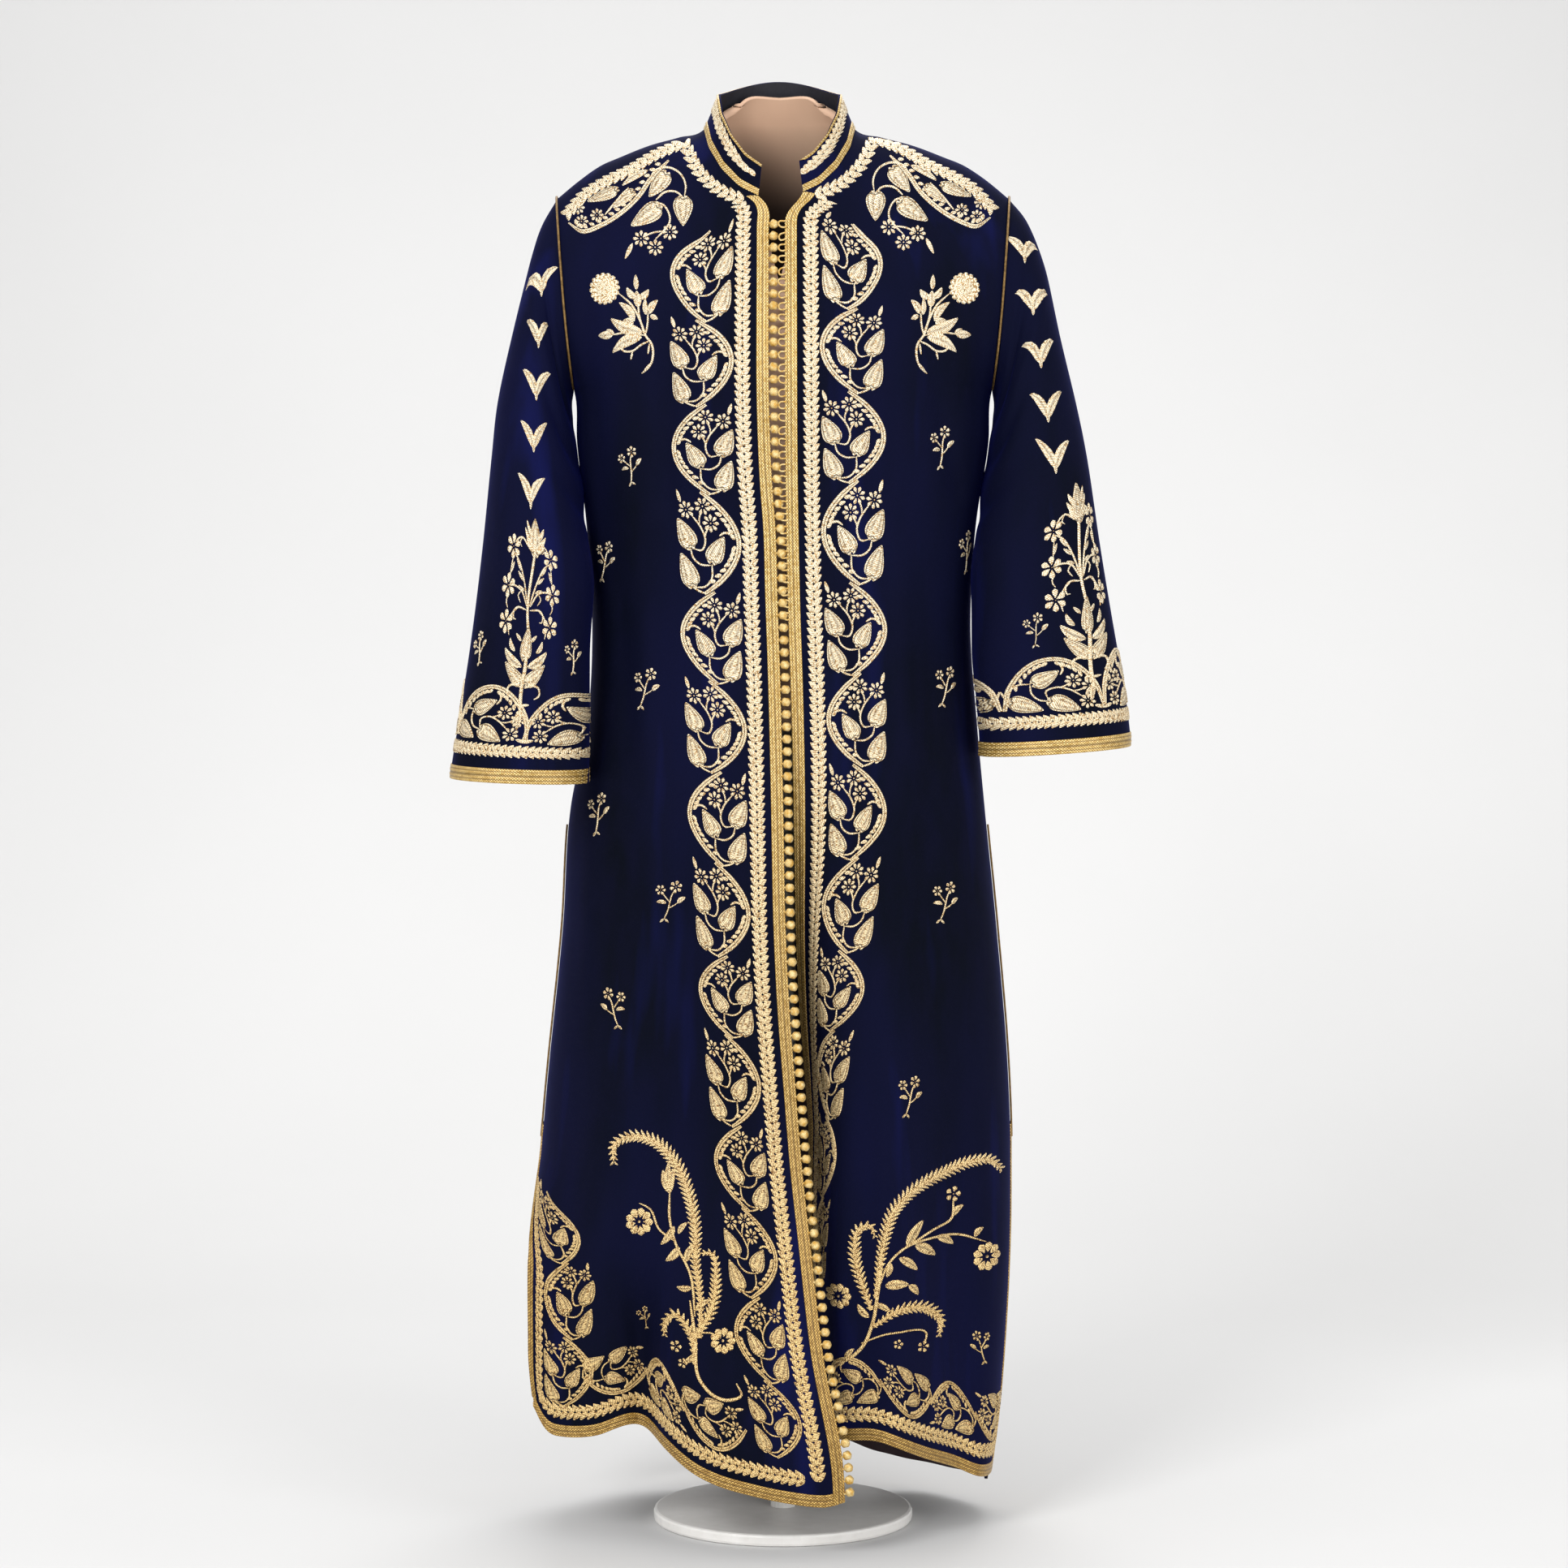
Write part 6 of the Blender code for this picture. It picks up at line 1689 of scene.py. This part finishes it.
def ball(centre, radius, out, up):
    """A knotted ball with poles on its stalk's line:
    r(a, b) = R (1 + 0.075 sin(4 a + 3 b) sin b + 0.04 cos 6 b)."""
    b = np.linspace(0.02, np.pi - 0.02, 11)[:, None]
    a = np.linspace(0, 2 * np.pi, 17)[None, :]
    r = radius * (1 + 0.075 * np.sin(4 * a + 3 * b) * np.sin(b) + 0.04 * np.cos(6 * b))
    side = np.cross(out, up)
    points = (centre + (r * np.cos(b))[..., None] * side + (r * np.sin(b) * np.cos(a))[..., None] * out
              + (r * np.sin(b) * np.sin(a))[..., None] * up)
    return points, np.stack(np.broadcast_arrays(b * radius * 1000, a * radius * 1000), axis=-1)


# %% Buttons
# metres
PITCH = 0.012
BUTTON_RADIUS = 0.0045
BUTTON_TOP = 1.298
BUTTON_LIFT = 0.0008
STALK_START, STALK_END, STALK_RADIUS = 0.0060, 0.0030, 0.0010
path = right.points[:, 0]
away = unit(path - right.points[:, 1])
path = path + away * (BUTTON_GAP / 2) + right.vectors[:, 0] * BUTTON_LIFT
keep = (np.arange(len(path)) <= CORNER) & (path[:, 2] < BUTTON_TOP)
path = path[keep]
count = int(length(path) / PITCH)
places = (np.arange(count) + 0.5) * PITCH + 0.002
ways, outs = (unit(between(places, distances(path), v[keep])) for v in (away, right.vectors[:, 0]))
rows = list(zip(along(path, places), ways, outs))
gather([ball(c, BUTTON_RADIUS, o, np.cross(w, o)) for c, w, o in rows], "button_balls", "buttons")
stalks = [np.linspace(c - w * STALK_START, c - w * STALK_END, 4) for c, w, o in rows]
gather([tube(stalk, STALK_RADIUS) for stalk in stalks], "button_stalks")
print(count, "buttons at a pitch of", round(PITCH * 1000), "mm")

# %% Loops on the left front's edge
LOOPS_LOW, LOOPS_FULL, LOOPS_TOP = 0.90, 0.93, 1.300
LOOP_REACH, LOOP_SHORT, LOOP_HALF, LOOP_DROOP = 0.0072, 0.0048, 0.0030, 0.0014
LOOP_IN, LOOP_LIFT, LOOP_RADIUS = 0.0012, 0.0024, 0.00085
edge = left.points[:, 0]
open_way = unit(edge - left.points[:, 1])
inside = (edge[:, 2] > LOOPS_LOW) & (edge[:, 2] < LOOPS_TOP)
run = distances(edge[inside])
places = np.arange(PITCH / 2, run[-1] - PITCH / 2, PITCH)
parts = (between(places, run, v[inside]) for v in (edge, open_way, left.vectors[:, 0]))
t = np.linspace(0, 1, 17)
loops = []
for number, (p, w, o) in enumerate(zip(*parts)):
    reach = LOOP_REACH if p[2] > LOOPS_FULL else LOOP_SHORT
    droop = LOOP_DROOP * np.sin(number * 2.4)
    round_way = reach * np.sin(np.pi * t) ** 0.7
    up_down = LOOP_HALF * np.cos(np.pi * t) * (1 + 0.5 * np.sin(np.pi * t)) + droop * np.sin(np.pi * t)
    line = p - w * LOOP_IN + o * LOOP_LIFT + round_way[:, None] * w + up_down[:, None] * np.cross(w, o)
    loops.append(tube(line, LOOP_RADIUS, 6))
gather(loops, "button_loops")
print(len(loops), "loops")

# %% Piping
# metres: radius of the cord and its distance from the seam
ARMHOLE_PIPING, ARMHOLE_OUT = 0.0011, 0.0019
SIDE_PIPING, SIDE_OUT = 0.0010, 0.0016
SIDE_PIPING_TOP = 0.700
SIDE_POINTS = 60
for side, key in ((-1, "right"), (1, "left")):
    front = SHEETS[key].vectors[-TOP_COUNT:, -1]
    rear = back.vectors[-TOP_COUNT:, 0 if side < 0 else -1]
    body = np.concatenate((front[::-1], rear[1:-1]))
    out = unit(body + SHEETS["sleeve_" + key].vectors[-1])
    rise = ARMHOLE_OUT / np.clip((out * body).sum(axis=1), 0.5, 1)
    line = armhole_ring(SHEETS, side) + out * rise[:, None]
    line[:, 0] += side * SEAM
    line = line[np.concatenate((np.arange(TOP_COUNT, len(line)), np.arange(0, TOP_COUNT - 1)))]
    line = along(line, length(line) * np.linspace(0, 1, 130))
    gather([tube(line, ARMHOLE_PIPING)], "cord_armhole_" + key, "piping_armhole_" + key, PIPING_GOLD)
    z = np.linspace(SLIT_TOP + 0.006, SIDE_PIPING_TOP, SIDE_POINTS)
    x = side * (half_width(side * np.ones(SIDE_POINTS), z) + SIDE_OUT)
    seam = np.stack((x, x * 0, z), axis=1)
    gather([tube(seam, SIDE_PIPING)], "cord_side_" + key, "piping_side_" + key, PIPING_GOLD)
print("4 lengths of piping")

# %% [markdown]
# ## The form and its stand
#
# The caftan stands on a hollow torso moulded in plastic, without head or limbs and painted a matt beige. It
# shows in the neck and between the fronts at the chest. Its rings follow the same widths and depths as the
# cloth does, a few millimetres further in. No light reaches far down inside it, so its inner wall is tinted
# darker downward. The pole and the low base keep their CAD solids and take a pale paint.

# %% Dress form
# metres: the form's wall, how far it stays under the shoulder ridge, and how much further at the neck
FORM_WALL = 0.004
FORM_UNDER = 0.0037
FORM_NECK_UNDER = 0.0090
FORM_COLUMNS = 112
FORM_STEPS = 4
# painted shade: the inner wall gets darker from this height downward, over this distance, up to this share
DARK_FROM, DARK_OVER, DARKEST = 1.395, 0.085, 0.97
# height, half width, depth in front and behind
FORM = np.array([
    (0.80, 0.150, 0.096, 0.094), (0.86, 0.138, 0.090, 0.084), (0.92, 0.130, 0.088, 0.080),
    (1.00, 0.138, 0.096, 0.084), (1.08, 0.152, 0.106, 0.092), (1.13, 0.162, 0.109, 0.096),
    (1.20, 0.178, 0.107, 0.097), (1.26, 0.186, 0.102, 0.094), (1.32, 0.187, 0.094, 0.090),
    (1.40, 0.187, 0.084, 0.083), (1.47, 0.187, 0.080, 0.080)])
# rings: half width of a ring that lies over the shoulders, else 0; height at the sides, in front and behind
FORM_RINGS = np.array([
    (0.0, 0.80, 0.80, 0.80), (0.0, 0.86, 0.86, 0.86), (0.0, 0.93, 0.93, 0.93), (0.0, 1.00, 1.00, 1.00),
    (0.0, 1.07, 1.07, 1.07), (0.0, 1.14, 1.12, 1.14), (0.0, 1.21, 1.155, 1.21), (0.0, 1.27, 1.180, 1.265),
    (0.0, 1.315, 1.195, 1.305), (0.180, 0.0, 1.206, 1.335), (0.152, 0.0, 1.213, 1.358),
    (0.122, 0.0, 1.219, 1.378), (0.098, 0.0, 1.224, 1.392), (0.083, 0.0, 1.228, 1.402),
    (0.072, 0.0, 1.231, 1.410), (0.062, 0.0, 1.233, 1.417), (0.054, 0.0, 1.234, 1.4225)])


def form_surface(x, z, sign):
    """Outside of the form: y = middle + sign * depth * (1 - |x / width|^C)^(1/C) * sqrt(1 - up^2)."""
    top = ridge(x) - FORM_UNDER - FORM_NECK_UNDER * ease((0.112 - off_neck(x)) / 0.03)
    width = smooth(FORM, 1, z)
    depth = smooth(FORM, 3 if sign > 0 else 2, z)
    across = bulge(np.clip(np.abs(x) / width, 0, 1))
    up = np.clip((z - ARMPIT) / (top - ARMPIT), 0, 1)
    return middle_y(z) + sign * depth * across * np.sqrt(1 - up**2), top


def form_ring(row, angles):
    """One ring round the form; angles run from the front, over the wearer's left side, to the back."""
    side_x, side_z, front_z, back_z = row
    full = side_x == 0
    width = smooth(FORM, 1, side_z) if full else side_x
    power = 2 / CURVE if full else 1.0
    x = width * np.sign(np.sin(angles)) * np.abs(np.sin(angles)) ** power
    front = np.cos(angles) > 0
    if not full:
        x = x - NECK_SHIFT * ease((0.16 - width) / 0.08)
    _, top = form_surface(x, np.full(x.shape, 1.3), 1)
    level = side_z if full else top - 0.018 * ease((0.090 - width) / 0.034)
    share = np.sin(angles) ** 2
    share = np.where(front & (not full), np.abs(np.sin(angles)), share)
    middle_z = np.where(front, front_z, back_z)
    z = middle_z + (level - middle_z) * share
    y_front, _ = form_surface(x, z, -1)
    y_back, _ = form_surface(x, z, 1)
    return np.stack((x, np.where(front, y_front, y_back), z), axis=1)


def dress_form():
    """The CAD form with finer rings: an outer wall, an inner one further in, a rim and a flat bottom."""
    columns = FORM_COLUMNS
    angles = np.linspace(0, 2 * np.pi, columns, endpoint=False) + 1e-4
    angles = angles + 0.2 * np.sin(2 * angles)
    rings = np.array([form_ring(row, angles) for row in FORM_RINGS])
    fine = np.linspace(0, len(rings) - 1, (len(rings) - 1) * FORM_STEPS + 1)
    low = np.minimum(fine.astype(int), len(rings) - 2)
    share = (fine - low)[:, None, None]
    padded = np.concatenate((2 * rings[:1] - rings[1:2], rings, 2 * rings[-1:] - rings[-2:-1]))
    before, start, end, after = (padded[low + k] for k in range(4))
    outer = start + 0.5 * share * (end - before + share * (
        2 * before - 5 * start + 4 * end - after + share * (3 * (start - end) + after - before)))
    centre = outer.mean(axis=1, keepdims=True)
    centre[:, :, 2] = np.minimum(centre[:, :, 2], 1.16)
    inner = outer - normals(outer, outer - centre, wrap=True) * FORM_WALL
    inner[0, :, 2] = FORM[0, 0] + FORM_WALL
    rows = len(outer)
    count = rows * columns
    middles = [outer[0].mean(axis=0), inner[0].mean(axis=0)]
    points = np.concatenate((outer.reshape(-1, 3), inner.reshape(-1, 3), middles))
    faces = skin(rows, columns, wrap=True)
    j = np.arange(columns)
    k = (j + 1) % columns
    last = count - columns
    rim = np.stack((last + j, last + k, count + last + k, count + last + j), axis=1)
    first, second, third = j[::2], j[1::2], (j[1::2] + 1) % columns
    below = np.stack((third, second, first, np.full(len(first), 2 * count)), axis=1)
    above = count + np.stack((first, second, third, np.full(len(first), count + 1)), axis=1)
    quads = np.concatenate((faces, count + faces[:, ::-1], rim, below, above))
    shade = np.clip((DARK_FROM - points[:, 2]) / DARK_OVER, 0, 1) ** 0.8 * DARKEST
    shade[:count] = 0
    return points, quads, shade


points, faces, shade = dress_form()
# the inner wall's painted shade goes to its points as their gap value
torso = make_mesh("torso", points, faces, (SKIN,), gap=shade)
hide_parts("dress_form")
print("torso with", len(faces), "faces")

# %% Finishes of the pole and base
for name in ("pole", "base"):
    for slot in bpy.data.objects[name].material_slots:
        slot.material = STAND
print("pole and base painted")

# %% Finish the thread
for key, sewing in SEWN.items():
    TRIM[key].append(sewing.finish("gold_thread_" + key))
    print(key, sewing.count, "points of gold thread")

# %% [markdown] Backdrop and world

# One sheet of paper runs from the floor up the wall in a wide bend, so no edge shows behind the caftan.
# Its back is clear, so the caftan can also be looked at from behind the wall.
tree = PAPER.node_tree
face = tree.nodes["Principled BSDF"].outputs["BSDF"]
clear = node(tree, "ShaderNodeBsdfTransparent").outputs["BSDF"]
behind = node(tree, "ShaderNodeNewGeometry").outputs["Backfacing"]
paper_mix = node(tree, "ShaderNodeMixShader", links={0: behind, 1: face, 2: clear})
tree.links.new(paper_mix.outputs[0], tree.nodes["Material Output"].inputs["Surface"])
PAPER_HALF, PAPER_TOP = 14.0, 9.0
BEND_START, BEND_RADIUS = 1.2, 1.8
bend = np.radians(np.linspace(0, 90, 25))
wall_y = BEND_START + BEND_RADIUS
run = np.concatenate(([-PAPER_HALF, 0.0], BEND_START + BEND_RADIUS * np.sin(bend), [wall_y]))
rise = np.concatenate(([0.0, 0.0], BEND_RADIUS - BEND_RADIUS * np.cos(bend), [PAPER_TOP]))
side = np.array([-PAPER_HALF, PAPER_HALF])[None, :]
grid = np.stack(np.broadcast_arrays(side, run[:, None], rise[:, None]), axis=-1)
paper = make_mesh("backdrop", grid.reshape(-1, 3), skin(len(run), 2), (PAPER,))
world = bpy.data.worlds.new("studio")
world.use_nodes = True
tree = world.node_tree
seen = node(tree, "ShaderNodeLightPath").outputs["Is Camera Ray"]
tree.links.new(mix(tree, seen, "#f2f1f0", "#c9c9c8"), tree.nodes["Background"].inputs["Color"])
tree.nodes["Background"].inputs["Strength"].default_value = 1.0
scene.world = world
